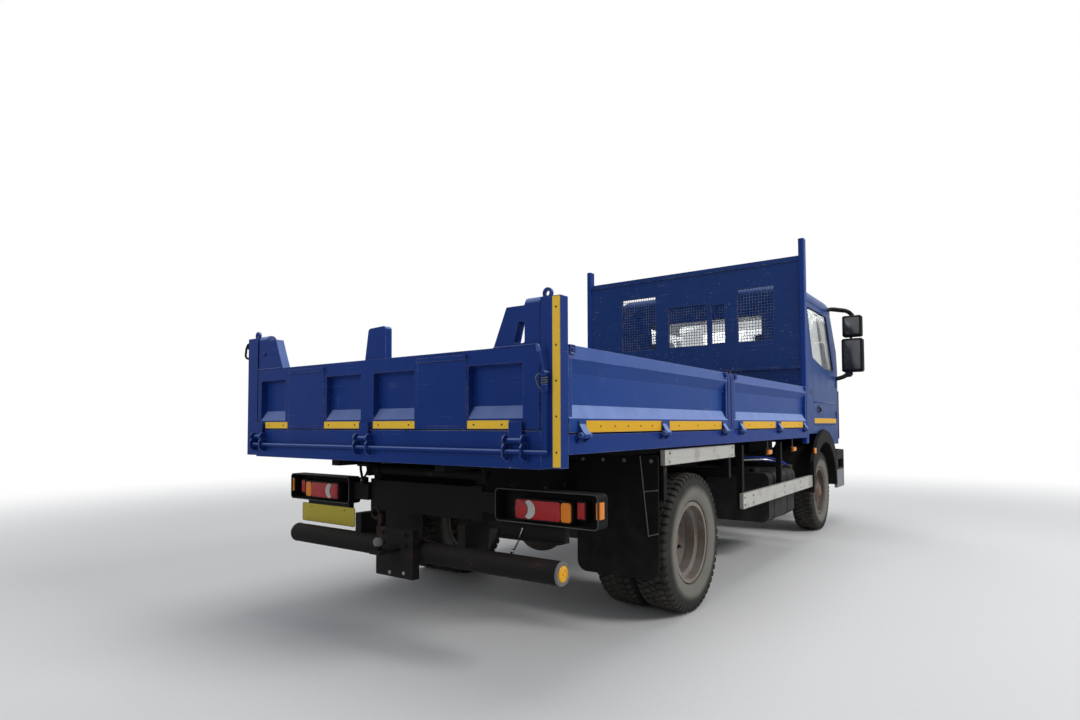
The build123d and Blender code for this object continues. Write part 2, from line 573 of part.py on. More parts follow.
def mesh_panel(x, row):
    """Sheet of square mesh that fills one opening of the headboard."""
    right, left, drop, rise = row
    top = HEAD_PANEL_TOP - drop
    height = top - HEAD_PANEL_LIP - rise
    columns, rows = round((left - right) / MESH_PITCH), round(height / MESH_PITCH)
    across, up = (left - right - MESH_WIRE) / columns, (height - MESH_WIRE) / rows
    holes = GridLocations(across, up, columns, rows) * Rectangle(across - MESH_WIRE, up - MESH_WIRE)
    sheet = Rectangle(left - right, height) - holes
    return along_x(Pos((left + right) / 2, top - height / 2) * sheet, x)


def headboard():
    half = HALF - HEAD_POST_WIDTH
    front = HEADBOARD_X + 20
    upper = block((front, front + 30), (-half, half), (HEAD_PANEL_LIP, HEAD_PANEL_TOP))
    top_rail = block((front - 10, front + 50), (-half, half), (HEAD_PANEL_TOP - 40, HEAD_PANEL_TOP))
    lip = block((front - 12, front + 40), (-half, half), (HEAD_PANEL_LIP, HEAD_PANEL_LIP + 20))
    for row in HEAD_WINDOWS:
        upper = upper - head_window((front - 5, front + 35), row)
    left = HALF - SIDE_RAIL_WIDTH
    lower = block(HEAD_LOWER, (-left, left), (FLOOR_BOTTOM, FLOOR_TOP))
    lower = lower + block(HEAD_LOWER, (-half, half), (FLOOR_TOP, HEAD_PANEL_LIP))
    node("headboard_panel", upper, top_rail, lip, lower)
    mesh_x = (front + 12, front + 16)
    node("headboard_mesh", *[mesh_panel(mesh_x, row) for row in HEAD_WINDOWS])


def cab_profile(inset):
    """Side outline of the cab: upright back, crowned roof, raked screen, bowed front."""
    back, roof, nose = CAB_REAR + inset, 2540 - inset, CAB_NOSE - inset
    middle = (CAB_REAR + CAB_NOSE) / 2 - 295
    lines = [Line((back, 870), (back, roof - 110)),
             ThreePointArc((back, roof - 110), (back + 25, roof - 62), (back + 90, roof - 36)),
             ThreePointArc((back + 90, roof - 36), (middle, roof), (nose - 490, roof - 52)),
             ThreePointArc((nose - 490, roof - 52), (nose - 418, roof - 90), (nose - 380, roof - 160)),
             Line((nose - 380, roof - 160), (nose - 145, WAIST_Z)),
             ThreePointArc((nose - 145, WAIST_Z), (nose - 45, 1300), (nose - 40, 870)),
             Line((nose - 40, 870), (back, 870))]
    return make_face(lines)


def cab_section(inset):
    """Front outline of the cab: upright to the waist, then leaning in to the roof."""
    half, roof = CAB_HALF - inset, 2545 - inset
    right = [Line((0, 850), (half, 850)), Line((half, 850), (half, WAIST_Z + 60)),
             Line((half, WAIST_Z + 60), (half - 62, 2330)),
             ThreePointArc((half - 62, 2330), (half - 100, roof - 84), (half - 200, roof - 34)),
             ThreePointArc((half - 200, roof - 34), (half - 600, roof - 8), (0, roof))]
    face = make_face(right + [Line((0, roof), (0, 850))])
    return face + mirror(face, about=Plane.YZ)


def cab_plan(inset):
    """Plan outline of the cab: square at the back, its front corners well rounded."""
    half, nose, back = CAB_HALF - inset, CAB_NOSE - inset, CAB_REAR - 50
    left = [Line((back, 0), (back, half)), Line((back, half), (CAB_NOSE - 410, half)),
            ThreePointArc((CAB_NOSE - 410, half), (CAB_NOSE - 180, half - 70), (nose - 80, half - 250)),
            ThreePointArc((nose - 80, half - 250), (nose - 20, 500), (nose, 0)),
            Line((nose, 0), (back, 0))]
    face = make_face(left)
    return face + mirror(face, about=Plane.XZ)


def cab_solid(inset):
    body = along_y(cab_profile(inset), (-WIDE, WIDE))
    body = body & along_x(cab_section(inset), (CAB_REAR - 20, AHEAD))
    return body & along_z(cab_plan(inset), (800, 2600))


def door_outline(shrink):
    """Door outline in X and Z, smaller all round by the given gap."""
    s = shrink
    return outline([(DOOR_REAR + s, DOOR_BOTTOM + s), (DOOR_FRONT - s, DOOR_BOTTOM + s),
                    (DOOR_FRONT - s, WAIST_Z), (DOOR_FRONT - 84 - s, DOOR_TOP - s),
                    (DOOR_REAR + s, DOOR_TOP - s)], 30)


def window_outline(grow):
    g = grow
    rear, front, top = DOOR_REAR + 62 - g, DOOR_FRONT - 70 + g, DOOR_TOP - 62 + g
    return outline([(rear, 1762 - g), (DOOR_FRONT - 450, 1664 - g), (front, 1676 - g),
                    (front - 76, top), (rear, top)], 26)


def door_round(radius, z):
    """Round piece about the left door's hinge axis."""
    return bar((DOOR_HINGE_X, DOOR_HINGE_Y, z[0]), (DOOR_HINGE_X, DOOR_HINGE_Y, z[1]), radius)


GRILLE_HALF = 560
GRILLE_Z = (960, 1035, 1110, 1185, 1260)


def cab():
    shell = cab_solid(0) - cab_solid(CAB_WALL)
    glass_skin = cab_solid(16) - cab_solid(16 + GLASS)
    side_y = (600, WIDE)
    arch = both(bar((FRONT_AXLE_X, 600, TYRE_RADIUS), (FRONT_AXLE_X, WIDE, TYRE_RADIUS), ARCH_RADIUS))
    rear_low = block((CAB_REAR - 10, FRONT_AXLE_X), (-WIDE, WIDE), (800, 1000))
    shell = shell - arch - rear_low
    aperture = along_y(door_outline(0), side_y)
    window = along_y(window_outline(0), side_y)
    door_skin = shell & along_y(door_outline(CLEAR), side_y)
    door = door_skin - window
    cab_knuckles = []
    for middle in DOOR_HINGES:
        own = (middle - 20, middle + 20)
        door = door - door_round(DOOR_KNUCKLE + 1.5, (middle - 42, middle - 20))
        door = door - door_round(DOOR_KNUCKLE + 1.5, (middle + 20, middle + 42))
        door = door + door_round(DOOR_KNUCKLE, own) - door_round(DOOR_PIN + 0.5, (middle - 25, middle + 25))
        shell = shell - both(door_round(DOOR_KNUCKLE + 1.5, own))
        cab_knuckles.append(door_round(DOOR_KNUCKLE, (middle - 40, middle - 21)))
        cab_knuckles.append(door_round(DOOR_KNUCKLE, (middle + 21, middle + 40)))
        cab_knuckles.append(door_round(DOOR_PIN, (middle - 30, middle + 30)))
    node("door_left", door)
    node("door_right", mirrored(door))
    pane = glass_skin & window
    node("door_glass_left", pane)
    node("door_glass_right", mirrored(pane))
    shell = shell - both(aperture)

    screen_low, screen_high = 1640, 2370
    frame = outline([(-880, screen_low), (880, screen_low), (850, screen_high), (-850, screen_high)], 60)
    screen = along_x(frame, (DOOR_FRONT, AHEAD))
    rear_pane = block((CAB_REAR - 20, CAB_REAR + CAB_WALL + 20), (-620, 620), (1760, 2200))
    screen_glass = glass_skin & screen
    back_glass = glass_skin & rear_pane
    node("cab_glass", screen_glass, back_glass)
    grille = [block((CAB_NOSE - 130, AHEAD), (-GRILLE_HALF, GRILLE_HALF), (z, z + 40)) for z in GRILLE_Z]
    shell = shell - screen - rear_pane - joined(grille)

    roof_z = DOOR_TOP + 30
    regions = {
        "cab_roof": block((BEHIND, AHEAD), (-WIDE, WIDE), (roof_z, 2600)),
        "cab_back": block((BEHIND, CAB_REAR + CAB_WALL), (-WIDE, WIDE), (800, roof_z)),
        "cab_front": block((DOOR_FRONT - 90, AHEAD), (-WIDE, WIDE), (800, roof_z)),
        "cab_sides": block((CAB_REAR + CAB_WALL, DOOR_FRONT - 90), (-WIDE, WIDE), (800, roof_z)),
    }
    for name, region in regions.items():
        node(name, shell & region)
    node("cab_front", NODES["cab_front"], both(joined(cab_knuckles)))

    inner = cab_solid(CAB_WALL)
    floor_z = (CAB_FLOOR_TOP - CAB_FLOOR_THICK, CAB_FLOOR_TOP)
    slab = inner & block((CAB_REAR, AHEAD), (-WIDE, WIDE), floor_z)
    hump = block((CAB_REAR + CAB_WALL, CAB_NOSE - 170), (-TUNNEL_HALF, TUNNEL_HALF), (floor_z[0], TUNNEL_TOP))
    void_y = (40 - TUNNEL_HALF, TUNNEL_HALF - 40)
    void = block((CAB_REAR - 10, CAB_NOSE - 210), void_y, (800, TUNNEL_TOP - 40))
    lug_y = (RAIL_OUTER + 24, RAIL_OUTER + 46)
    reach = CAB_TILT_X + 22
    foot, rear, front = CAB_TILT_Z - 26, CAB_TILT_X - 130, CAB_TILT_X - 44
    lug = along_y(outline([(CAB_TILT_X - 24, foot), (reach, foot), (reach, CAB_TILT_Z + 24), (front, 862),
                           (front, floor_z[0] + 2), (rear, floor_z[0] + 2), (rear, 890)]), lug_y)
    hole = bar((CAB_TILT_X, RAIL_OUTER, CAB_TILT_Z), (CAB_TILT_X, RAIL_OUTER + 80, CAB_TILT_Z), CAB_PIN + 0.5)
    inside = inner + block((CAB_REAR, AHEAD), (-600, 600), (0, 1000))
    node("cab_floor", (slab + hump - void) & inside, both(lug - hole))


SEAT_X = CAB_REAR + 220     # rear edge of the seat cushions


def cab_inside():
    """Two seats, the dashboard and the steering wheel on the right."""
    seats = []
    for y in (-600, 600):
        base = block((SEAT_X + 60, SEAT_X + 440), (y - 190, y + 190), (CAB_FLOOR_TOP, 1380))
        cushion = block((SEAT_X, SEAT_X + 510), (y - 240, y + 240), (1380, 1490))
        back = outline([(SEAT_X, 1490), (SEAT_X + 120, 1490), (SEAT_X + 20, 2040), (SEAT_X - 80, 2040)], 20)
        seats.append(base + cushion + along_y(back, (y - 230, y + 230)))
    node("seats", *seats)
    dash = outline([(CAB_NOSE - 490, 1180), (CAB_NOSE - 250, 1180), (CAB_NOSE - 230, 1540),
                    (CAB_NOSE - 510, 1500), (CAB_NOSE - 570, 1380)], 20)
    dash = along_y(dash, (90 - CAB_HALF, CAB_HALF - 90))
    dash = dash - block((FRONT_AXLE_X, CAB_NOSE - 169), (-TUNNEL_HALF, TUNNEL_HALF), (1000, TUNNEL_TOP))
    wheel_x = CAB_NOSE - 710
    wheel_at = Pos(wheel_x, -600, 1560) * Rot(0, -62 + 90, 0)
    hoop = wheel_at * Torus(215, 15)
    spokes = wheel_at * (Box(410, 30, 12) + Cylinder(50, 20))
    column = bar((wheel_x, -600, 1560), (wheel_x + 220, -600, 1450), 28)
    node("dashboard", dash, hoop, spokes, column)


def mirrors():
    x, y = DOOR_FRONT + 100, CAB_HALF + 150
    arm = bar((x - 120, y - 270, 2400), (x + 20, y, 2360), 14) + bar((x + 20, y, 2360), (x, y, 1640), 14)
    arm = arm + bar((x, y, 1640), (x - 10, y - 200, 1610), 14)
    upper = block((x - 10, x + 110), (y - 90, y + 110), (2080, 2320))
    lower = block((x - 20, x + 110), (y - 100, y + 120), (1680, 2060))
    upper = fillet(upper.edges(), 22)
    lower = fillet(lower.edges(), 26)
    node("mirrors", both(arm + upper + lower - cab_solid(-SEAT)))


def bumper_plan(inset):
    """Plan outline of the bumper, open at the back when one is cut from another."""
    half, nose, back = BUMPER_HALF - inset, FRONT_REACH - inset, BUMPER_REAR - (50 if inset else 0)
    bend = FRONT_REACH - 260
    left = [Line((back, 0), (back, half)), Line((back, half), (bend, half)),
            ThreePointArc((bend, half), (bend + 130 - inset * 0.6, half - 70), (nose - 70, half - 220)),
            ThreePointArc((nose - 70, half - 220), (nose - 18, 500), (nose, 0)), Line((nose, 0), (back, 0))]
    face = make_face(left)
    return face + mirror(face, about=Plane.XZ)


HEADLAMP_Y = (660, -910)    # right-hand edge of each headlamp
HEADLAMP_WIDTH = 250
HEADLAMP_Z = (605, 745)


def lamp_outline(y, inset):
    """Headlamp outline in Y and Z, smaller all round by the inset."""
    low, high = HEADLAMP_Z[0] + inset, HEADLAMP_Z[1] - inset
    left, right = y + HEADLAMP_WIDTH - inset, y + inset
    return outline([(right, low), (left, low), (left, high), (right, high)], 40)


def front_end():
    low, high = BUMPER_Z
    shell = along_z(bumper_plan(0), BUMPER_Z) - along_z(bumper_plan(BUMPER_WALL), (low - 50, high + 50))
    front_x = (FRONT_REACH - 200, FRONT_REACH + 20)
    intake = [block(front_x, (-440, 440), (z, z + 26)) for z in (438, 478, 518)]
    lamp_holes = [along_x(lamp_outline(y, 0), front_x) for y in HEADLAMP_Y]
    step_x = (BUMPER_REAR + 60, FRONT_REACH - 310)
    step_hole = both(block(step_x, (BUMPER_HALF - 96, BUMPER_HALF + 24), (600, 700)))
    tread_y = (BUMPER_HALF - 176, BUMPER_HALF - BUMPER_WALL + 5)
    tread = block((step_x[0] - 10, step_x[1] + 10), tread_y, (580, 600))
    node("bumper", (shell + both(tread)) - joined(intake + [step_hole] + lamp_holes))
    lamps = []
    lens_plan = along_z(bumper_plan(4), (500, 800)) - along_z(bumper_plan(BUMPER_WALL - 4), (400, 900))
    for y in HEADLAMP_Y:
        lamps.append(lens_plan & along_x(lamp_outline(y, SEAT), front_x))
    node("headlamps", *lamps)


TANK_INNER_Y = 520         # inner face of the fuel tank and of the battery box
TANK_X = (3150, 3900)
TANK_OUTER_Y = HALF - 110
TANK_Z = (300, 700)
TANK_STRAPS = (3290, 3680)
SILENCER_RADIUS = 115
PIPE_RADIUS = 30


def tank_length(x, grow):
    """Length of the tank's rounded section, larger all round by the given amount."""
    low, high = TANK_Z[0] - grow, TANK_Z[1] + grow
    inner, outer = TANK_INNER_Y - grow, TANK_OUTER_Y + grow
    return along_x(outline([(inner, low), (outer, low), (outer, high), (inner, high)], 60 + grow), x)


def fuel_tank():
    """Tank with two straps round it and a filler cap, on the left until it is mirrored."""
    straps = [tank_length((x, x + 45), 3) for x in TANK_STRAPS]
    cap = bar((TANK_X[0] + 80, 900, TANK_Z[1] - 5), (TANK_X[0] + 80, 900, TANK_Z[1] + 30), 38)
    return joined([tank_length(TANK_X, 0)] + straps + [cap])


def silencer(engine_rear):
    """Silencer across the right side behind the cab, with its hanger and pipes."""
    x, z = CAB_REAR - 270, 560
    drum = bar((x, -480, z), (x, -960, z), SILENCER_RADIUS)
    hanger = block((x - 20, x + 20), (-490, -RAIL_OUTER), (z + 50, z + 100))
    pipe = bar((x, -485, z), (x, -300, z), PIPE_RADIUS) + Pos(x, -300, z) * Sphere(PIPE_RADIUS)
    pipe = pipe + bar((x, -300, z), (engine_rear + 5, -300, z + 10), PIPE_RADIUS)
    outlet = bar((x, -955, z), (x, -1050, z), PIPE_RADIUS)
    return joined([drum, hanger, pipe, outlet])


def side_gear():
    guard_y = (HALF - 50, HALF - 24)
    upper = block((1023, 2104), guard_y, (878, 960))
    lower = block((2270, 4220), guard_y, (513, 618))
    uprights = [block((x, x + 40), (guard_y[0] - 40, guard_y[0]), (500, 950)) for x in (2330, 3280)]
    arms = [block((x, x + 40), (RAIL_OUTER, guard_y[0]), (740, 780)) for x in (2330, 3280)]
    post = block((1060, 1100), (guard_y[0] - 40, guard_y[0]), (690, 950))
    rear_arm = block((2064, 2104), (RAIL_OUTER, guard_y[0]), (740, 780))
    hanger = block((2064, 2104), (guard_y[0] - 40, guard_y[0]), (740, 950))
    node("guard_planks", both(upper), both(lower))
    carriers = [block((x, x + 60), (RAIL_OUTER, TANK_INNER_Y), (602, 702)) for x in (3380, 3740)]
    pieces = uprights + arms + carriers + [post, rear_arm, hanger]
    node("guard_brackets", *[both(piece) for piece in pieces])
    node("fuel_tank", mirrored(fuel_tank()))
    node("battery_box", block((3300, 3900), (TANK_INNER_Y, HALF - 130), (400, 735)))
    engine_rear = FRONT_AXLE_X - 66
    gearbox = block((GEARBOX_REAR, engine_rear), (-200, 200), (460, 860))
    start, end = REAR_AXLE_X + DIFF_NOSE, GEARBOX_REAR
    shaft_z = (TYRE_RADIUS, 530)
    yokes = bar((start, 0, shaft_z[0]), (start + 60, 0, shaft_z[0]), 40)
    yokes = yokes + bar((end - 60, 0, shaft_z[1]), (end, 0, shaft_z[1]), 40)
    shaft = bar((start + 40, 0, shaft_z[0]), (end - 40, 0, shaft_z[1]), SHAFT_RADIUS)
    engine = block((engine_rear, CAB_NOSE - 330), (-310, 310), (560, 1170))
    node("powertrain", engine, gearbox, yokes, shaft, silencer(engine_rear))


# Trays that hold the tail lamps, on the left
TRAY_X = (296, 380)
TRAY_Y = (560, HALF - 5)
TRAY_Z = (631, 790)
TRAY_WALL = 5


def lamp_tray():
    """Shallow tray with rounded corners, open to the rear."""
    faces = []
    for inset in (0, TRAY_WALL):
        right, left = TRAY_Y[0] + inset, TRAY_Y[1] - inset
        low, high = TRAY_Z[0] + inset, TRAY_Z[1] - inset
        faces.append(outline([(right, low), (left, low), (left, high), (right, high)], 22 - inset))
    return along_x(faces[0], TRAY_X) - along_x(faces[1], (TRAY_X[0] - 5, TRAY_X[1] - TRAY_WALL))


def rear_gear():
    tube = bar((250, -985, 436), (250, 985, 436), 55)
    arm_y = (RAIL_OUTER - 60, RAIL_OUTER - 10)
    arms = both(block((235, RAIL_REAR + 60), arm_y, (400, RAIL_TOP - RAIL_DEPTH)))
    plate = block((150, 196), (-140, 140), (310, 560)) + block((20, 150), (-40, 40), (445, 465))
    ball = Pos(45, 0, 505) * Sphere(25)
    neck = bar((45, 0, 460), (45, 0, 505), 16)
    node("underrun", tube, arms, plate, ball, neck)
    rail_arm = block((333, TRAY_X[1]), (RAIL_OUTER, TRAY_Y[0] + TRAY_WALL), (660, 760))
    holder = block((300, 333), (560, 960), (500, TRAY_Z[0] + TRAY_WALL))
    shelf = block((340, TRAY_X[1]), (-940, -560), (548, TRAY_Z[0] + 3))
    shelf = shelf + block((300, 345), (-940, -560), (548, 554))
    marker = (304, 348), (TRAY_Y[1] - 20, TRAY_Y[1] + 4), (677, 756)
    hole = [(low - SEAT, high + SEAT) for low, high in marker]
    node("lamp_carriers", both(lamp_tray() + rail_arm - block(*hole)), holder, shelf)
    back = TRAY_X[1] - TRAY_WALL
    lamp = along_x(outline([(671, 645), (1004, 645), (1004, 750), (671, 750)], 16), (TRAY_X[0] + 8, back))
    square = outline([(1018, 670), (1068, 670), (1068, 750), (1018, 750)], 6)
    reflector = along_x(square, (TRAY_X[0] + 22, back))
    node("tail_lamps", both(lamp + reflector + block(*marker)))
    flap_face = outline([(620, 280), (1120, 280), (1120, 930), (620, 930)])
    flap = along_x(fillet(flap_face.vertices().sort_by(Axis.Y)[:2], 60), (950, 956))
    stay = bar((975, 430, 700), (975, 1090, 700), 18) + block((956, 994), (1050, 1090), (600, 930))
    node("rear_flaps", both(flap + stay))
    guard = wheel_guard()
    node("front_mudguards", guard)


GUARD_RADIUS = 500          # inside of the front wheel's guard


def wheel_guard():
    x, outer = FRONT_AXLE_X, CAB_HALF + 30
    ring = bar((x, 620, TYRE_RADIUS), (x, outer, TYRE_RADIUS), GUARD_RADIUS + 12)
    ring = ring - bar((x, 600, TYRE_RADIUS), (x, outer + 20, TYRE_RADIUS), GUARD_RADIUS)
    trim = bar((x, outer - 34, TYRE_RADIUS), (x, outer, TYRE_RADIUS), ARCH_RADIUS - 10)
    trim = trim - bar((x, outer - 80, TYRE_RADIUS), (x, outer + 20, TYRE_RADIUS), GUARD_RADIUS)
    trim = trim & block((x - 532, BUMPER_REAR - 12), (outer - 80, outer + 20), (0, 1200))
    ring = ring + trim - block((x - 1000, x + 1000), (600, outer + 20), (-300, 430))
    stay = block((x - 476, x - 436), (RAIL_OUTER, 640), (620, 660))
    return both(ring + stay)


def export():
    os.makedirs("parts", exist_ok=True)
    for name, shape in NODES.items():
        export_step(Pos(-CENTRE_X, 0, 0) * shape, f"parts/{name}.step")


wheels()
axles()
chassis()
ram()
side_boards()
tailgate()
rear_beam()
floor_frame()
headboard()
cab()
cab_inside()
mirrors()
front_end()
side_gear()
rear_gear()
export()
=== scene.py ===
"""Light dropside tipper lorry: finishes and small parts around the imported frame.

Metres, in the frame's own axes: X forward, Y to the lorry's left, Z up from the ground.
"""
import math

import bpy
from mathutils import Matrix, Vector


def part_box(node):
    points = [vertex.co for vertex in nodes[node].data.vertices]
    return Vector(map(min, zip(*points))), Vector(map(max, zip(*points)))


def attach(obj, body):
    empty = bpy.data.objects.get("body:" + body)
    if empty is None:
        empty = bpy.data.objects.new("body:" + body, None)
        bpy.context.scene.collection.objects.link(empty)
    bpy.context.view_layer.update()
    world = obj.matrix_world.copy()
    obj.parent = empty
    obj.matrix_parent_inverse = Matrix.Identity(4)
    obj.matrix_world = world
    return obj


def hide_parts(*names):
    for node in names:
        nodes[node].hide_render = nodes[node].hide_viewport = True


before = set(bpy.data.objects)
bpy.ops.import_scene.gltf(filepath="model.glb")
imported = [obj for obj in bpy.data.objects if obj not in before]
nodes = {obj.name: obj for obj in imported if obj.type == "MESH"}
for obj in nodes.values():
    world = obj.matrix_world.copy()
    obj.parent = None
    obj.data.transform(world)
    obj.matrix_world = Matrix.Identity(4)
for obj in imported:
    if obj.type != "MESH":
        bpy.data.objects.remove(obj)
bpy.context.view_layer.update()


def each_side(build):
    """Lets a function that builds one side's pieces build those of both."""
    def build_both():
        for side, sign in SIDES:
            build(side, sign)
    return build_both


def middle_of(node):
    return sum(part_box(node), Vector()) / 2


# Lines of the lorry that several pieces share
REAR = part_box("posts")[0].x
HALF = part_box("posts")[1].y
REAR_AXLE = middle_of("rear_wheels_left")
FRONT_AXLE = middle_of("front_wheel_left")
SIDES = (("left", 1), ("right", -1))
ACROSS = Matrix.Scale(-1, 4, (0, 1, 0))     # to the lorry's other side
BACK = (-1, 0, 0)


def at(x, y, z):
    """Point measured from the body's rear face."""
    return Vector((REAR + x, y, z))


def route(points, sign=1):
    """Points measured from the rear face; sign -1 takes them to the right side."""
    return [at(x, sign * y, z) for x, y, z in points]


def corners(first, second):
    """Lowest and highest corner of the box between two points."""
    pairs = list(zip(first, second))
    return Vector([min(pair) for pair in pairs]), Vector([max(pair) for pair in pairs])


# Modelling by operators

MERGED = 0.00002          # corners nearer than this become one
SHARP = math.radians(30)  # edges that turn more than this are rounded


def deselect():
    if bpy.context.mode != "OBJECT":
        leave_edit()
    bpy.ops.object.select_all(action="DESELECT")


def choose(*pieces):
    deselect()
    for piece in pieces:
        piece.select_set(True)
    bpy.context.view_layer.objects.active = pieces[0]


def edit(piece):
    """Edit mode with everything selected."""
    choose(piece)
    bpy.ops.object.mode_set(mode="EDIT")
    bpy.ops.mesh.select_mode(type="VERT")
    bpy.ops.mesh.select_all(action="SELECT")


def leave_edit():
    bpy.ops.object.mode_set(mode="OBJECT")


def settle(piece):
    """Puts a piece's place, turn and size into its mesh."""
    choose(piece)
    bpy.ops.object.transform_apply(location=True, rotation=True, scale=True)
    return piece


def new_piece(name):
    piece = bpy.context.active_object
    piece.name = piece.data.name = name
    return piece


def modify(piece, kind, **settings):
    """Adds a modifier, sets it and applies it."""
    choose(piece)
    bpy.ops.object.modifier_add(type=kind)
    modifier = piece.modifiers[-1]
    for key, value in settings.items():
        setattr(modifier, key, value)
    bpy.ops.object.modifier_apply(modifier=modifier.name)
    return piece


def soften(piece, width, segments=2):
    """Rounds a piece's sharp edges."""
    return modify(piece, "BEVEL", width=width, segments=segments, limit_method="ANGLE",
                  angle_limit=SHARP, harden_normals=False)


def block(name, first, second):
    """Box between two corners, as a start for shaping."""
    low, high = corners(first, second)
    deselect()
    bpy.ops.mesh.primitive_cube_add(size=1, location=(low + high) / 2)
    piece = new_piece(name)
    piece.scale = high - low
    return settle(piece)


def slab(name, x, y, z, bevel, segments=2, sign=1):
    """Rounded box between two values on each axis, measured from the rear face."""
    first, second = route(zip(x, y, z), sign)
    return soften(block(name, first, second), bevel, segments)


def rod(name, start, end, radius, sides=16):
    """Round bar between two points."""
    start, end = Vector(start), Vector(end)
    way = end - start
    deselect()
    turn = way.to_track_quat("Z", "Y").to_euler()
    bpy.ops.mesh.primitive_cylinder_add(vertices=sides, radius=radius, depth=way.length,
                                        location=(start + end) / 2, rotation=turn)
    return settle(new_piece(name))


def line(name, points):
    """Open line of edges, drawn by extruding one corner after another."""
    deselect()
    bpy.ops.mesh.primitive_plane_add(size=0.001, location=points[0])
    piece = new_piece(name)
    edit(piece)
    bpy.ops.mesh.merge(type="CENTER")
    for start, end in zip(points, points[1:]):
        step = Vector(end) - Vector(start)
        bpy.ops.mesh.extrude_region_move(TRANSFORM_OT_translate={"value": step})
    leave_edit()
    return settle(piece)


def clean(piece):
    """Merges doubled corners and turns all faces outwards."""
    edit(piece)
    bpy.ops.mesh.remove_doubles(threshold=MERGED)
    bpy.ops.mesh.normals_make_consistent(inside=False)
    leave_edit()
    return piece


WAYS = {                   # for each axis, the directions of a turned profile's radius and width
    "X": (Vector((0, 1, 0)), Vector((1, 0, 0))),
    "Y": (Vector((1, 0, 0)), Vector((0, 1, 0))),
    "Z": (Vector((1, 0, 0)), Vector((0, 0, 1))),
}


def lathe(name, profile, centre, steps, axis="Y", closed=True):
    """Profile of (radius, width) points spun about a line through the centre."""
    centre = Vector(centre)
    across, along = WAYS[axis]
    points = [centre + across * radius + along * width for radius, width in profile]
    if closed:
        points.append(points[0])
    piece = line(name, points)
    edit(piece)
    bpy.ops.mesh.spin(steps=steps, angle=math.tau, center=centre, axis=along)
    leave_edit()
    return clean(piece)


def plate(name, outline, thickness):
    """Flat plate: an outline of 3-D points, filled and given its thickness along the vector."""
    piece = line(name, list(outline) + [outline[0]])
    edit(piece)
    bpy.ops.mesh.remove_doubles(threshold=MERGED)
    bpy.ops.mesh.edge_face_add()
    bpy.ops.mesh.extrude_region_move(TRANSFORM_OT_translate={"value": Vector(thickness)})
    leave_edit()
    return clean(piece)


def hose(name, points, radius, closed=False, sides=3, straight=False):
    """Round tube that bends through the points, or runs straight from one to the next."""
    deselect()
    curve = bpy.data.curves.new(name, "CURVE")
    curve.dimensions = "3D"
    spline = curve.splines.new("POLY" if straight else "BEZIER")
    knots = spline.points if straight else spline.bezier_points
    knots.add(len(points) - 1)
    for knot, point in zip(knots, points):
        if straight:
            knot.co = (*point, 1)
        else:
            knot.co = point
            knot.handle_left_type = knot.handle_right_type = "AUTO"
    spline.use_cyclic_u = closed
    spline.resolution_u = 6
    curve.bevel_depth = radius
    curve.bevel_resolution = sides
    curve.use_fill_caps = True
    piece = bpy.data.objects.new(name, curve)
    bpy.context.scene.collection.objects.link(piece)
    choose(piece)
    bpy.ops.object.convert(target="MESH")
    return clean(bpy.context.active_object)


def rim(name, points, radius, sides=2):
    """Closed round wire with straight runs between its points."""
    return hose(name, points, radius, closed=True, sides=sides, straight=True)


def round_rectangle(first, second, radius, corner=5):
    """Outline of a rectangle with round corners, between two corners of a plane."""
    (left, low), (right, high) = first, second
    middles = ((right - radius, high - radius, 0), (left + radius, high - radius, 90),
               (left + radius, low + radius, 180), (right - radius, low + radius, 270))
    outline = []
    for x, y, start in middles:
        for step in range(corner + 1):
            turn = math.radians(start + 90 * step / corner)
            outline.append((x + radius * math.cos(turn), y + radius * math.sin(turn)))
    return outline


def panel(name, x, y, z, radius, bevel=0.001):
    """Flat plate across the lorry with round corners, between two values on each axis."""
    right, left = sorted(y)
    outline = round_rectangle((right, z[0]), (left, z[1]), radius)
    return soften(plate(name, [at(x[0], *point) for point in outline], (x[1] - x[0], 0, 0)), bevel)


def bolts(name, places, out, radius):
    """Hexagon heads on washers, joined as one piece; out is the direction that they face."""
    out = Vector(out)
    heads = []
    for point in places:
        for height, width, sides in ((0.25, 1.45, 16), (0.95, 1, 6), (1.25, 0.5, 10)):
            heads.append(rod(name, point, point + out * radius * height, radius * width, sides))
    return soften(joined(name, heads), radius * 0.08, 1)


RIVET_RADIUS, RIVET_HEIGHT = 0.0045, 0.0022


def rivets(name, places, out):
    """Small domed heads on a face, joined as one piece; out is the face's outward direction."""
    heads = [rod(name, point, point + Vector(out) * RIVET_HEIGHT, RIVET_RADIUS, 12) for point in places]
    return soften(joined(name, heads), 0.0008, 1)


def node_copy(node, name):
    """Mesh of one of the frame's pieces as the start of a piece that follows its shape."""
    piece = bpy.data.objects.new(name, nodes[node].data.copy())
    piece.data.name = name
    bpy.context.scene.collection.objects.link(piece)
    return clean(piece)


def pick(piece, test):
    """Edit mode, with the faces whose middle and normal pass the test selected."""
    choose(piece)
    bpy.ops.object.mode_set(mode="EDIT")
    bpy.ops.mesh.select_mode(type="FACE")
    bpy.ops.mesh.select_all(action="DESELECT")
    leave_edit()
    for face in piece.data.polygons:
        face.select = test(face.center, face.normal)
    bpy.ops.object.mode_set(mode="EDIT")


def facing(axis, sign, limit=0.95):
    """Test for the faces that look along an axis, forwards or backwards."""
    return lambda centre, normal: normal[axis] * sign > limit


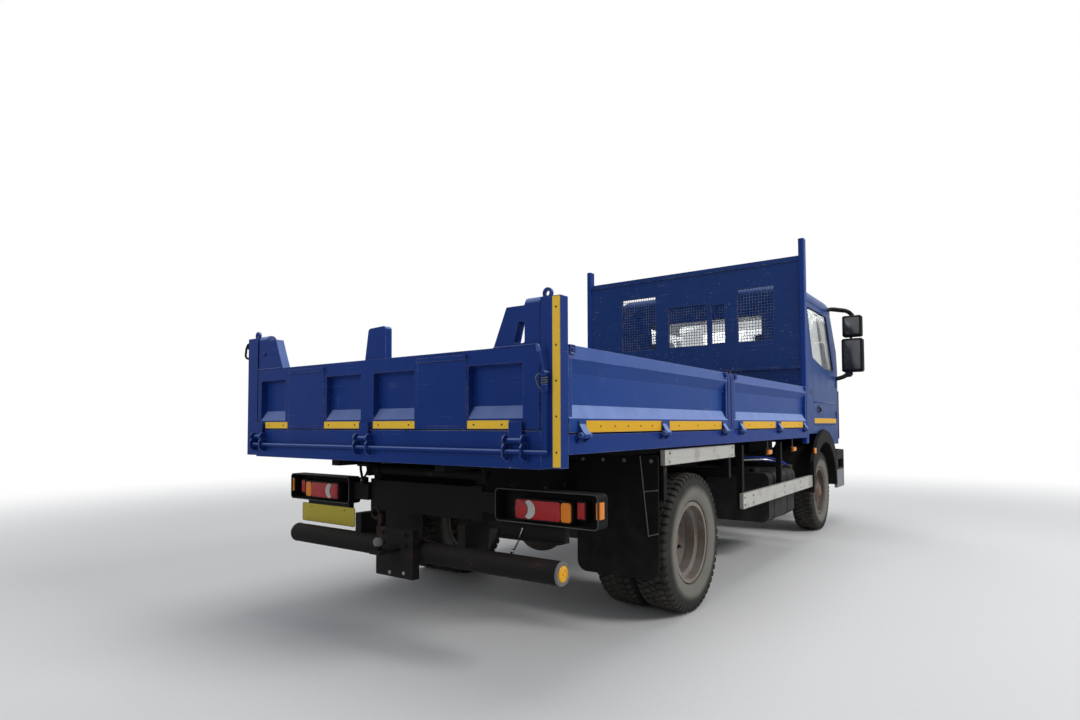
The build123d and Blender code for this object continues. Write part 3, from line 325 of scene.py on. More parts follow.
def patch(node, name, first, second, test, thickness):
    """Skin laid on part of a node's outside, between two corners, where the faces pass the test."""
    piece = node_copy(node, name)
    edit(piece)
    for corner, sign in zip(corners(first, second), (-1, 1)):
        for axis in range(3):
            way = Vector((0, 0, 0))
            way[axis] = sign
            bpy.ops.mesh.select_all(action="SELECT")
            bpy.ops.mesh.bisect(plane_co=corner, plane_no=way, clear_outer=True)
    pick(piece, lambda centre, normal: not test(centre, normal))
    bpy.ops.mesh.delete(type="FACE")
    leave_edit()
    return modify(piece, "SOLIDIFY", thickness=thickness, offset=1)


def seal_round(node, name, test, radius):
    """Rubber seal along the rim of the faces of a pane that pass the test."""
    piece = node_copy(node, name)
    pick(piece, test)
    bpy.ops.mesh.region_to_loop()
    bpy.ops.mesh.select_all(action="INVERT")
    bpy.ops.mesh.delete(type="EDGE_FACE")
    leave_edit()
    bpy.ops.object.convert(target="CURVE")
    piece = bpy.context.active_object
    piece.data.bevel_depth = radius
    piece.data.bevel_resolution = 2
    choose(piece)
    bpy.ops.object.convert(target="MESH")
    return clean(bpy.context.active_object)


def sink(piece, test, edge, depth):
    """Insets the picked faces by the edge and moves them in by the depth."""
    pick(piece, test)
    bpy.ops.mesh.inset(thickness=edge, depth=-depth)
    leave_edit()
    return piece


def twin(piece, name, transform):
    """Copy of a piece with a mesh of its own, moved by a matrix."""
    other = piece.copy()
    other.data = piece.data.copy()
    other.name = other.data.name = name
    other.data.transform(transform)
    bpy.context.scene.collection.objects.link(other)
    if transform.determinant() < 0:
        clean(other)
    return other


def joined(name, pieces):
    choose(*pieces)
    if len(pieces) > 1:
        bpy.ops.object.join()
    return new_piece(name)


def ring_of(piece, centre, count):
    """One piece out of copies set evenly round a line along Y through the centre."""
    copies = []
    for step in range(1, count):
        turn = Matrix.Rotation(step * math.tau / count, 4, "Y")
        turn = Matrix.Translation(centre) @ turn @ Matrix.Translation(-centre)
        copies.append(twin(piece, piece.name + "_copy", turn))
    return joined(piece.name, [piece] + copies)


def place(piece, body, finish, replaces=(), smooth=35):
    """Gives a finished piece its material and its body, and hides the frame's parts that it replaces."""
    piece.data.materials.clear()
    piece.data.materials.append(finish)
    choose(piece)
    bpy.ops.object.shade_smooth_by_angle(angle=math.radians(smooth))
    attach(piece, body)
    if replaces:
        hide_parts(*replaces)
    return piece


# Finishes

class Value:
    """Shader socket that takes arithmetic."""

    def __init__(self, finish, socket):
        self.finish = finish
        self.socket = socket

    def math(self, operation, *others, clamp=False):
        return self.finish.math(operation, self, *others, clamp=clamp)

    def __add__(self, other):
        return self.math("ADD", other)

    def __radd__(self, other):
        return self.finish.math("ADD", other, self)

    def __sub__(self, other):
        return self.math("SUBTRACT", other)

    def __rsub__(self, other):
        return self.finish.math("SUBTRACT", other, self)

    def __mul__(self, other):
        return self.math("MULTIPLY", other)

    def __rmul__(self, other):
        return self.finish.math("MULTIPLY", other, self)

    def __pow__(self, other):
        return self.math("POWER", other)

    def between(self, low, high):
        """0 below the low value, 1 above the high one, smooth between."""
        settings = {"interpolation_type": "SMOOTHSTEP", "clamp": True}
        return self.finish.add("ShaderNodeMapRange", settings,
                               {"Value": self, "From Min": low, "From Max": high})

    def clamped(self):
        return self.math("ADD", 0.0, clamp=True)


class Finish:
    """Material under construction, with one Principled shader and the colour reached so far."""

    def __init__(self, name):
        self.material = bpy.data.materials.new(name)
        self.material.use_nodes = True
        self.tree = self.material.node_tree
        self.shader = self.tree.nodes["Principled BSDF"]
        self.where = self.add("ShaderNodeTexCoord", {}, {}, "Object")
        self.shade = None

    def add(self, kind, settings, inputs, output=0):
        """Any node: its settings first, then its inputs, and the output that is used."""
        node = self.tree.nodes.new(kind)
        for key, value in settings.items():
            setattr(node, key, value)
        for key, value in inputs.items():
            self.feed(node.inputs[key], value)
        return Value(self, node.outputs[output])

    def feed(self, socket, value):
        if isinstance(value, Value):
            self.tree.links.new(value.socket, socket)
        else:
            socket.default_value = value

    def math(self, operation, *values, clamp=False):
        settings = {"operation": operation, "use_clamp": clamp}
        return self.add("ShaderNodeMath", settings, dict(enumerate(values)))

    def noise(self, scale, detail, stretch=(1, 1, 1), offset=(0, 0, 0)):
        """Cloudy values from 0 to 1 over the piece's own place."""
        source = self.where
        if stretch != (1, 1, 1) or any(offset):
            source = self.add("ShaderNodeMapping", {},
                              {"Vector": source, "Location": offset, "Scale": stretch})
        return self.add("ShaderNodeTexNoise", {}, {"Vector": source, "Scale": scale, "Detail": detail}, "Fac")

    def cells(self, scale):
        """Distance from the nearest of many scattered points."""
        return self.add("ShaderNodeTexVoronoi", {}, {"Vector": self.where, "Scale": scale}, "Distance")

    def axis(self, name, vector=None):
        return self.add("ShaderNodeSeparateXYZ", {}, {0: vector or self.where}, name)

    def normal(self):
        return self.add("ShaderNodeNewGeometry", {}, {}, "Normal")

    def facing_up(self):
        return self.axis("Z", self.normal())

    def edges(self, radius):
        """1 on sharp edges, 0 on flat ground."""
        rounded = self.add("ShaderNodeBevel", {"samples": 4}, {"Radius": radius})
        same = self.add("ShaderNodeVectorMath", {"operation": "DOT_PRODUCT"}, {0: rounded, 1: self.normal()},
                        "Value")
        return (1.0 - same).between(0.015, 0.12)

    def radius_from(self, centre):
        """Distance from a wheel's axle."""
        x = self.axis("X") - centre.x
        z = self.axis("Z") - centre.z
        return (x * x + z * z) ** 0.5

    def mix(self, first, second, factor):
        """Colour between two colours; the node's colour sockets are numbers 6, 7 and, out, 2."""
        return self.add("ShaderNodeMix", {"data_type": "RGBA"},
                        {0: factor, 6: colour(first), 7: colour(second)}, 2)

    def start(self, first, second, factor):
        self.shade = self.mix(first, second, factor)

    def coat(self, over, cover, strength=1.0):
        """Lays another colour over the one reached so far, where the cover is 1."""
        self.shade = self.mix(self.shade, over, cover.clamped() * strength)

    def bump(self, height, distance):
        return self.add("ShaderNodeBump", {}, {"Height": height, "Distance": distance, "Strength": 1.0},
                        "Normal")

    def set(self, **inputs):
        """Feeds the Principled shader; names use underscores for spaces."""
        for key, value in inputs.items():
            self.feed(self.shader.inputs[key.replace("_", " ")], value)
        return self.material

    def surface(self, rough, height, distance, **more):
        """Closes the material: its colour, a roughness, a bump and what else is given."""
        return self.set(Base_Color=self.shade, Roughness=rough.clamped(), Normal=self.bump(height, distance),
                        **more)


def colour(value):
    """Three numbers as a colour with full alpha; a socket stays as it is."""
    return value if isinstance(value, Value) else (*value, 1.0)


def scaled(base, factor):
    return [channel * factor for channel in base]


DUST = (0.36, 0.31, 0.25)
# Pale blue on faces that look up: partly dust, partly a painted reflection of the sky
PALE_DUST_AND_SKY_SHEEN = (0.27, 0.37, 0.70)
PRIMER = (0.24, 0.25, 0.28)
RUST = (0.16, 0.062, 0.028)


def worn_paint(name, base, light, chips, dust, film_and_sky_sheen, roughness=0.32, spots=0.60):
    """Gloss paint on steel that has faded, been scratched and chipped at its edges, with a pale blue film on
    faces that look up that is partly dust and partly a painted sky reflection.
    """
    f = Finish(name)
    cloud = f.noise(1.7, 4)
    patch_of = f.noise(7, 5, offset=(3, 1, 7))
    fine = f.noise(70, 4)
    f.start(base, light, (cloud * 0.6 + patch_of * 0.5 - 0.1).clamped())
    streak = f.noise(1.0, 6, stretch=(2.5, 2.5, 90), offset=(0, 0, 3)).between(0.60, 0.72)
    rub = f.noise(1.0, 6, stretch=(26, 26, 3), offset=(9, 2, 1)).between(0.62, 0.74)
    f.coat(PRIMER, (streak + rub) * patch_of.between(0.45, 0.72) * (0.55 * chips), 0.6)
    edge = f.edges(0.006) * (fine * 0.7 + patch_of * 0.6).between(0.52, 0.78)
    spot = f.cells(38).between(0.20, 0.12) * patch_of.between(spots, spots + 0.12)
    chip = (edge + spot * fine.between(0.46, 0.56)) * chips
    f.coat(PRIMER, chip)
    f.coat(RUST, chip * f.noise(23, 3, offset=(5, 5, 5)).between(0.5, 0.6) * 0.8)
    settled = f.facing_up().between(0.25, 0.95) * (0.35 + cloud * 0.9) * dust
    f.coat(DUST, settled, 0.7)
    # Pale blue film on slopes and tops: settled dust and a painted sky reflection
    f.coat(PALE_DUST_AND_SKY_SHEEN, f.facing_up().between(0.12, 0.5) * (0.5 + patch_of * 0.6) * film_and_sky_sheen)
    f.coat(DUST, f.axis("Z").between(0.95, 0.45) * (0.3 + patch_of * 0.6) * dust, 0.6)
    rough = roughness + patch_of * 0.16 + chip * 0.3 + settled * 0.35
    height = fine * 0.12 - chip.clamped() * 0.8 + patch_of * 0.25
    return f.surface(rough, height, 0.0006, IOR=1.5, Specular_IOR_Level=0.07)


def scraped_deck(name):
    """Steel deck rubbed bare by loads, with scratches along it, paint left near its edges, rust and dust."""
    f = Finish(name)
    broad = f.noise(2.6, 5)
    fine = f.noise(60, 5)
    along = f.noise(1.0, 6, stretch=(2.2, 70, 40))
    f.start((0.19, 0.185, 0.18), (0.095, 0.093, 0.092), along)
    edge = f.axis("Y").math("ABSOLUTE").between(0.72, 1.06) + f.axis("X").between(REAR + 3.35, REAR + 3.95)
    left = (edge + broad * 0.9 - 0.25).between(0.35, 0.75) * (1.0 - along.between(0.50, 0.66) * 0.7)
    f.coat((0.018, 0.045, 0.16), left, 0.8)
    f.coat(RUST, f.noise(9, 5, offset=(4, 1, 2)).between(0.54, 0.66) * fine.between(0.42, 0.58), 0.75)
    score = f.noise(1.0, 4, stretch=(1.2, 160, 160), offset=(7, 0, 0)).between(0.66, 0.72)
    f.coat((0.42, 0.42, 0.42), score, 0.6)
    dust = f.noise(4.5, 6, offset=(1, 6, 3)).between(0.42, 0.70)
    f.coat(DUST, dust, 0.55)
    height = along * 0.5 + fine * 0.4 - score * 0.5 + broad * 0.8
    return f.surface(0.48 + dust * 0.35, height, 0.002, Specular_IOR_Level=0.3)


def black_steel(name, base, dust):
    """Chassis paint: dull and dark under road dust, with rust where it has gone."""
    f = Finish(name)
    broad = f.noise(5, 5)
    fine = f.noise(55, 5)
    f.start(base, scaled(base, 2.6), fine)
    rust = broad.between(0.60, 0.72) * fine.between(0.40, 0.60)
    f.coat(RUST, rust, 0.28)
    up = f.facing_up().between(0.1, 0.9)
    settled = (up * 0.8 + f.axis("Z").between(1.0, 0.2) * 0.35) * (0.25 + broad * 0.9) * dust
    f.coat(DUST, settled, 0.75)
    return f.surface(0.56 + fine * 0.2 + settled * 0.3, fine * 0.3 + rust * 0.5, 0.0012,
                     Specular_IOR_Level=0.08)


def moulded(name, base, dust, grain=900, roughness=0.55, upper=None):
    """Grained plastic, faded in patches and dusty; upper is another colour above a height."""
    f = Finish(name)
    broad = f.noise(4, 5)
    f.start(base, [channel * 1.7 + 0.004 for channel in base], broad)
    if upper:
        height, other = upper
        f.coat(other, f.axis("Z").between(height, height + 0.002))
    up = f.facing_up().between(0.1, 0.9)
    spread = 0.2 + f.noise(11, 5).between(0.3, 0.8)
    settled = (up * 0.7 + f.axis("Z").between(1.2, 0.3) * 0.4) * spread * dust
    f.coat(DUST, settled, 0.7)
    height = f.cells(grain) + f.noise(60, 3) * 0.6
    return f.surface(roughness + broad * 0.15 + settled * 0.2, height, 0.00025, Specular_IOR_Level=0.07)


def rubber(name, centre):
    """Tyre rubber: grey with dust, paler in a ring on the wall, clean where it rolls."""
    f = Finish(name)
    radius = f.radius_from(centre)
    broad = f.noise(9, 5)
    fine = f.noise(120, 4)
    f.start((0.012, 0.012, 0.012), (0.034, 0.033, 0.031), broad)
    band = radius.between(0.232, 0.250) * (1.0 - radius.between(0.292, 0.345))
    f.coat((0.27, 0.26, 0.225), (band * 1.1 + 0.10) * (0.55 + broad * 0.6), 0.62)
    tread = radius.between(0.385, 0.399)
    f.coat((0.085, 0.077, 0.066), tread * broad.between(0.3, 0.7), 0.6)
    lines = (radius * 900.0).math("SINE") * (1.0 - tread)
    return f.surface(0.74 + broad * 0.18, fine * 0.5 + lines * 0.05, 0.0008, Specular_IOR_Level=0.08)


def dusty_wheel(name, centre, base, mud):
    """Wheel steel: dull paint under patches of brown dust, with rust spots and more rust colour towards the
    hub.
    """
    f = Finish(name)
    radius = f.radius_from(centre)
    broad = f.noise(14, 5)
    fine = f.noise(110, 4)
    f.start(base, scaled(base, 0.55), broad)
    dirt = (broad * 0.7 + fine * 0.5).between(0.35, 0.85)
    f.coat(mud, dirt, 0.75)
    f.coat(RUST, fine.between(0.52, 0.66) * f.noise(6, 4, offset=(2, 8, 1)).between(0.45, 0.62), 0.8)
    f.coat(RUST, (1.0 - radius.between(0.05, 0.17)) * broad.between(0.35, 0.6), 0.6)
    return f.surface(0.62 + dirt * 0.25, fine * 0.5 + dirt * 0.6, 0.0012, Specular_IOR_Level=0.25)


def strip_yellow(name, base, light):
    """Yellow marking strip with grime at its edges and small scratches."""
    f = Finish(name)
    broad = f.noise(16, 5)
    fine = f.noise(150, 3)
    f.start(base, light, broad)
    grime = f.edges(0.010) * 0.5 + fine.between(0.55, 0.75) * broad.between(0.4, 0.7)
    f.coat((0.20, 0.13, 0.05), grime, 0.6)
    return f.surface(0.38 + broad * 0.2, fine, 0.0002, Specular_IOR_Level=0.2)


def guard_paint(name):
    """Off-white paint, brushed by dirt along the board and brown at its ends."""
    f = Finish(name)
    streak = f.noise(1.0, 6, stretch=(3, 3, 70))
    broad = f.noise(9, 5)
    f.start((0.50, 0.49, 0.45), (0.38, 0.37, 0.335), streak)
    f.coat((0.17, 0.14, 0.11), broad.between(0.50, 0.70) * (0.4 + streak * 0.5), 0.6)
    ends = f.axis("X").between(REAR + 4.00, REAR + 4.20) + f.axis("X").between(REAR + 2.28, REAR + 2.25)
    stain = ends.clamped() * f.axis("Z").between(0.70, 0.65) * (0.35 + broad * 0.9)
    rust = f.edges(0.008) * f.noise(40, 4).between(0.5, 0.62) + stain
    f.coat((0.10, 0.072, 0.050), rust, 0.75)
    return f.surface(0.42 + broad * 0.25, streak * 0.4 + broad, 0.0006)


def bright_steel(name, base):
    f = Finish(name)
    streak = f.noise(1.0, 4, stretch=(60, 60, 4))
    f.start(base, scaled(base, 0.7), streak)
    return f.surface(0.16 + streak * 0.16, streak, 0.0001, Metallic=1.0)


def lens(name, tint, depth):
    """Ribbed lamp glass over a bright reflector."""
    f = Finish(name)
    wave = (f.axis("Y") * 900.0).math("SINE") * (f.axis("Z") * 900.0).math("SINE")
    broad = f.noise(20, 3)
    f.start(tint, depth, wave.between(-0.6, 0.9) * 0.6 + broad * 0.2)
    return f.surface(0.12 + broad * 0.12, wave, 0.0004, IOR=1.49, Coat_Weight=0.12, Coat_Roughness=0.05,
                     Specular_IOR_Level=0.2)


def window_glass(name):
    f = Finish(name)
    smear = f.noise(5, 4)
    shade = f.mix((0.86, 0.91, 0.91), (0.76, 0.80, 0.78), smear)
    return f.set(Base_Color=shade, Roughness=0.01 + smear.between(0.5, 0.8) * 0.06, Transmission_Weight=0.92,
                 IOR=1.45, Alpha=0.42 + smear.between(0.45, 0.8) * 0.12)


def woven(name, base):
    """Seat cloth: a small plain weave over a soft surface."""
    f = Finish(name)
    warp = (f.axis("Y") * 1900.0).math("SINE")
    weft = ((f.axis("Z") + f.axis("X")) * 1900.0).math("SINE")
    weave = warp * weft
    shade = f.mix(base, scaled(base, 2.2), weave.between(-0.8, 0.8) * 0.5 + f.noise(7, 4) * 0.4)
    return f.set(Base_Color=shade, Roughness=0.88, Normal=f.bump(weave, 0.0004), Sheen_Weight=0.3)


# In each worn paint the number after chips and dust is its pale film on faces that look up: dust and a painted
# sky sheen
body_paint = worn_paint("body_blue", (0.006, 0.026, 0.150), (0.011, 0.044, 0.225), 0.6, 0.20, 0.66)
board_paint = worn_paint("board_blue", (0.010, 0.040, 0.185), (0.018, 0.066, 0.27), 0.8, 0.20, 0.85)
head_paint = worn_paint("headboard_blue", (0.008, 0.030, 0.130), (0.014, 0.048, 0.20), 1.2, 0.22, 0.24,
                        spots=0.46)
cab_paint = worn_paint("cab_blue", (0.008, 0.036, 0.150), (0.013, 0.056, 0.215), 0.2, 0.14, 0.20,
                       roughness=0.30)
hinge_paint = worn_paint("hinge_paint", (0.030, 0.075, 0.26), (0.10, 0.15, 0.33), 1.0, 0.3, 0.5)
floor_paint = scraped_deck("floor_steel")
chassis_black = black_steel("chassis_black", (0.004, 0.004, 0.0045), 0.09)
cast_iron = black_steel("cast_iron", (0.022, 0.020, 0.019), 0.6)
rivet_dark = black_steel("rivet_dark", (0.05, 0.035, 0.02), 0.2)
zinc_dull = black_steel("zinc_dull", (0.085, 0.085, 0.085), 0.5)
black_plastic = moulded("black_plastic", (0.005, 0.005, 0.0055), 0.12)
smooth_black = moulded("smooth_black", (0.004, 0.004, 0.005), 0.1, grain=2500, roughness=0.32)
bumper_grey = moulded("bumper_grey", (0.155, 0.165, 0.175), 0.3, upper=(0.585, (0.012, 0.012, 0.013)))
trim_grey = moulded("trim_grey", (0.05, 0.052, 0.055), 0.5)
tank_skin = moulded("tank_skin", (0.016, 0.016, 0.017), 0.22)
seal = moulded("seal_rubber", (0.006, 0.006, 0.006), 0.15, grain=1500, roughness=0.6)
plate_edge = moulded("plate_edge", (0.05, 0.045, 0.02), 0.3)
pipe_blue = moulded("pipe_blue", (0.010, 0.030, 0.24), 0.15, roughness=0.35)
ram_steel = bright_steel("ram_steel", (0.55, 0.56, 0.58))
mirror_face = bright_steel("mirror_face", (0.10, 0.105, 0.115))
lamp_bowl = bright_steel("lamp_bowl", (0.80, 0.81, 0.82))
zinc = bright_steel("zinc", (0.42, 0.42, 0.42))
front_rubber = rubber("front_rubber", FRONT_AXLE)
rear_rubber = rubber("rear_rubber", REAR_AXLE)
front_wheel_steel = dusty_wheel("front_wheel_steel", FRONT_AXLE, (0.17, 0.165, 0.155), (0.14, 0.085, 0.05))
rear_wheel_steel = dusty_wheel("rear_wheel_steel", REAR_AXLE, (0.26, 0.245, 0.225), (0.20, 0.155, 0.115))
side_yellow = strip_yellow("strip_yellow", (0.66, 0.34, 0.004), (0.74, 0.42, 0.012))
rear_yellow = strip_yellow("rear_yellow", (0.84, 0.50, 0.03), (0.94, 0.60, 0.05))
plate_yellow = strip_yellow("plate_yellow", (0.38, 0.30, 0.025), (0.48, 0.40, 0.05))
guard_white = guard_paint("guard_white")
red_lens = lens("red_lens", (0.46, 0.008, 0.012), (0.24, 0.004, 0.006))
amber_lens = lens("amber_lens", (0.88, 0.26, 0.008), (0.55, 0.13, 0.004))
end_lens = lens("end_lens", (0.92, 0.46, 0.012), (0.60, 0.26, 0.006))
white_lens = lens("white_lens", (0.52, 0.51, 0.48), (0.36, 0.355, 0.34))
glass = window_glass("window_glass")
seat_cloth = woven("seat_cloth", (0.030, 0.034, 0.045))


def both(*names):
    return tuple(f"{name}_{side}" for name in names for side, sign in SIDES)


NODE_FINISHES = {
    body_paint: ("posts", "rear_beam", "side_rails", "tailgate"),
    board_paint: both("side_board_rear", "side_board_front"),
    head_paint: ("headboard_panel",),
    floor_paint: ("floor_plate",),
    cab_paint: ("cab_roof", "cab_back", "cab_front", "cab_sides", *both("door")),
    chassis_black: ("frame_rails", "crossmembers", "subframe", "leaf_springs", "underrun", "lamp_carriers",
                    "guard_brackets", "headboard_mesh", "tie_rod", "ram_barrel", "cab_floor", "floor_frame"),
    cast_iron: ("front_axle", "rear_axle", "powertrain", *both("knuckle")),
    black_plastic: ("front_mudguards", "rear_flaps", "battery_box", "dashboard", "mirrors"),
    bumper_grey: ("bumper",),
    tank_skin: ("fuel_tank",),
    ram_steel: ("ram_stage_1", "ram_stage_2", "ram_stage_3", "ram_stage_4"),
    guard_white: ("guard_planks",),
    red_lens: ("tail_lamps",),
    glass: ("cab_glass", "headlamps", *both("door_glass")),
    seat_cloth: ("seats",),
    front_wheel_steel: both("front_wheel"),
    rear_wheel_steel: both("rear_wheels"),
    front_rubber: both("front_tyre"),
    rear_rubber: both("rear_tyres"),
}


def finish_nodes():
    """Gives every piece of the frame its material."""
    for finish, names in NODE_FINISHES.items():
        for name in names:
            nodes[name].data.materials.clear()
            nodes[name].data.materials.append(finish)


# Camera, lamps and floor

CAMERA_AT = Vector((-5.2118, -2.5929, 1.0999))
CAMERA_YAW, CAMERA_PITCH, CAMERA_ROLL = 0.6254, 0.0376, -0.003
PHOTO_WIDTH = 1080
FOCAL_PIXELS = 643.76
HORIZON_DROP = 39.9       # how far the lens's axis lies below the picture's middle, in pixels
SENSOR = 36.0


def aimed(thing, eye, way):
    """Puts a camera or lamp in the scene at a point, looking along a vector, and gives back its turn."""
    bpy.context.scene.collection.objects.link(thing)
    thing.matrix_world = Matrix.Translation(eye) @ way.to_track_quat("-Z", "Y").to_matrix().to_4x4()
    return thing


def camera():
    data = bpy.data.cameras.new("camera")
    data.sensor_width = SENSOR
    data.lens = FOCAL_PIXELS / PHOTO_WIDTH * SENSOR
    data.shift_y = HORIZON_DROP / PHOTO_WIDTH
    data.clip_start, data.clip_end = 0.05, 200
    ahead = Vector((math.cos(CAMERA_YAW) * math.cos(CAMERA_PITCH),
                    math.sin(CAMERA_YAW) * math.cos(CAMERA_PITCH), math.sin(CAMERA_PITCH)))
    eye = aimed(bpy.data.objects.new("camera", data), CAMERA_AT, ahead)
    eye.matrix_world = eye.matrix_world @ Matrix.Rotation(CAMERA_ROLL, 4, "Z")
    bpy.context.scene.camera = eye


def lamp(name, eye, target, size, watts, mirrored=True):
    data = bpy.data.lights.new(name, "AREA")
    data.shape = "DISK"
    data.size = size
    data.energy = watts
    light = aimed(bpy.data.objects.new(name, data), eye, Vector(target) - Vector(eye))
    light.visible_glossy = mirrored


def studio():
    """Soft light from the lorry's right and above, before a white background that only shows."""
    lamp("key", (0.0, -9.5, 7.0), (0, 0, 0.8), 4.0, 640)
    lamp("top", (0.0, 0.0, 10.0), (0, 0, 0), 7.0, 400)
    lamp("rear_fill", (-10.0, 2.0, 4.5), (0, 0, 1.0), 5.0, 150)
    lamp("front_fill", (9.0, 6.0, 5.0), (0, 0, 1.0), 5.0, 320, mirrored=False)
    world = bpy.data.worlds.new("world")
    bpy.context.scene.world = world
    world.use_nodes = True
    tree = world.node_tree
    tree.nodes.clear()
    path = tree.nodes.new("ShaderNodeLightPath")
    seen = path.outputs["Is Camera Ray"]
    for other in ("Is Glossy Ray", "Is Transmission Ray"):
        both_rays = tree.nodes.new("ShaderNodeMath")
        both_rays.operation = "MAXIMUM"
        tree.links.new(seen, both_rays.inputs[0])
        tree.links.new(path.outputs[other], both_rays.inputs[1])
        seen = both_rays.outputs[0]
    choice = tree.nodes.new("ShaderNodeMixShader")
    tree.links.new(seen, choice.inputs[0])
    for socket, tint, strength in ((1, (0.82, 0.88, 1.0, 1), 0.33), (2, (1, 1, 1, 1), 1.0)):
        background = tree.nodes.new("ShaderNodeBackground")
        background.inputs["Color"].default_value = tint
        background.inputs["Strength"].default_value = strength
        tree.links.new(background.outputs[0], choice.inputs[socket])
    out = tree.nodes.new("ShaderNodeOutputWorld")
    tree.links.new(choice.outputs[0], out.inputs[0])
    bpy.context.scene.view_settings.view_transform = "Standard"


def floor():
    """Pale floor that fades to the background's white far from the lorry."""
    deselect()
    bpy.ops.mesh.primitive_plane_add(size=160, location=(0, 0, -0.002))
    ground = new_piece("studio_floor")
    f = Finish("studio_floor")
    x, y = f.axis("X"), f.axis("Y")
    far = ((x * x + y * y) ** 0.5).between(4.5, 11.0)
    shade = f.mix((0.66, 0.655, 0.64), (0.70, 0.695, 0.68), f.noise(40, 4))
    seen = f.add("ShaderNodeLightPath", {}, {}, "Is Camera Ray")
    f.set(Base_Color=f.mix(shade, (0.85, 0.85, 0.85), far), Roughness=0.85)
    white = f.add("ShaderNodeEmission", {}, {"Color": (1, 1, 1, 1), "Strength": 1.0})
    blend = f.add("ShaderNodeMixShader", {}, {"Fac": far * seen, 1: Value(f, f.shader.outputs[0]), 2: white})
    f.tree.links.new(blend.socket, f.tree.nodes["Material Output"].inputs["Surface"])
    ground.data.materials.append(f.material)


# Tyres and wheels

TYRE_RADIUS = 0.404
TYRE_STEPS = 108
REAR_TURN = 0.03          # turns the rear treads off the front ones, in radians
TREAD_PITCHES = 54
TREAD_FOOT = 0.3875       # the tread's blocks start inside the carcass
CARCASS = (               # (radius, width from the middle) from the bead outwards, one side
    (0.2232, 0.074), (0.238, 0.0765), (0.2425, 0.080), (0.243, 0.088), (0.252, 0.0955), (0.268, 0.1012),
    (0.290, 0.1052), (0.312, 0.1066), (0.316, 0.1066), (0.318, 0.1058), (0.342, 0.1040), (0.360, 0.1010),
    (0.372, 0.0985), (0.381, 0.0940), (0.3885, 0.0865), (0.3925, 0.074), (0.394, 0.050), (0.3945, 0.020))
SHOULDER_MOVES = (        # corners of a shoulder block's outer face: above this height, move across, up
    (0.398, -0.012, -0.0022), (0.388, -0.0015, 0.003), (0.0, 0.0015, -0.012))


def tread_block(name, width, length, skew):
    """One block of tread, at the top of a tyre whose axle is the origin."""
    piece = block(name, (-length / 2, width[0], TREAD_FOOT), (length / 2, width[1], TYRE_RADIUS - 0.0006))
    pick(piece, facing(2, 1))
    bpy.ops.transform.resize(value=(0.90, 0.95, 1), orient_type="GLOBAL")
    leave_edit()
    slant = Matrix.Identity(4)
    slant[0][1], slant[0][3] = skew, -skew * sum(width) / 2
    piece.data.transform(slant)
    return piece


def shoulder_block(name, length):
    """Outer tread block that wraps over the tyre's shoulder."""
    piece = block(name, (-length / 2, 0.070, 0.380), (length / 2, 0.1000, TYRE_RADIUS - 0.0008))
    pick(piece, facing(1, 1))
    bpy.ops.mesh.subdivide(number_cuts=1)
    leave_edit()
    for vertex in piece.data.vertices:
        if vertex.co.y > 0.095:
            across, up = next(move for floor_at, *move in SHOULDER_MOVES if vertex.co.z > floor_at)
            vertex.co.y += across
            vertex.co.z += up
    return piece


def tyre_shape():
    """Tyre about the origin: the carcass, its tread blocks and the shoulder lugs."""
    profile = list(CARCASS) + [(radius, -width) for radius, width in reversed(CARCASS)]
    carcass = lathe("tyre", profile, (0, 0, 0), TYRE_STEPS)
    pitch = math.tau * TYRE_RADIUS / TREAD_PITCHES
    half_turn = Matrix.Rotation(math.pi, 4, "Z")
    half_pitch = Matrix.Rotation(math.tau / TREAD_PITCHES / 2, 4, "Y")
    middle = tread_block("tread_middle", (-0.016, 0.016), pitch * 0.66, 0.35)
    left = tread_block("tread_left", (0.022, 0.064), pitch * 0.72, -0.30)
    right = twin(left, "tread_right", half_turn)
    outer_left = shoulder_block("shoulder_left", pitch * 0.62)
    outer_right = twin(outer_left, "shoulder_right", half_turn)
    for piece in (left, right, outer_right):
        piece.data.transform(half_pitch)
    lugs = soften(joined("tread", [middle, left, right, outer_left, outer_right]), 0.0016, 1)
    return joined("tyre", [carcass, ring_of(lugs, Vector(), TREAD_PITCHES)])


def tyres():
    first = tyre_shape()
    low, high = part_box("front_tyre_left")
    inset = (high.y - low.y) / 2
    for side, sign in SIDES:
        name = f"front_tyre_{side}"
        piece = twin(first, f"{name}_tread", Matrix.Translation(middle_of(name)))
        place(piece, f"front_wheel_{side}", front_rubber, [name], smooth=40)
        name = f"rear_tyres_{side}"
        low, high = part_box(name)
        turn = Matrix.Rotation(REAR_TURN * sign, 4, "Y")
        pair = []
        for y in (low.y + inset, high.y - inset):
            middle = Vector(((low.x + high.x) / 2, y, (low.z + high.z) / 2))
            pair.append(twin(first, f"{name}_tread", Matrix.Translation(middle) @ turn))
        place(joined(f"{name}_tread", pair), f"rear_wheels_{side}", rear_rubber, [name], smooth=40)
    bpy.data.objects.remove(first)


NUT_CIRCLE = 0.099        # radius
NUT_PARTS = ((0.020, 0.014, 6), (0.030, 0.0077, 10), (0.004, 0.0189, 14))   # length, radius and sides


@each_side
def wheel_nuts(side, sign):
    """Ten nuts with studs and collars on each front wheel's face."""
    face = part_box("front_wheel_left")[1].y - 0.0625
    centre = Vector((FRONT_AXLE.x, sign * face, FRONT_AXLE.z))
    top = centre + Vector((0, 0, NUT_CIRCLE))
    parts = [rod("nut", top, top + Vector((0, sign * length, 0)), radius, sides)
             for length, radius, sides in NUT_PARTS]
    first = soften(joined(f"front_nuts_{side}", parts), 0.0012, 1)
    place(ring_of(first, centre, 10), f"front_wheel_{side}", front_wheel_steel, smooth=30)


# Yellow strips

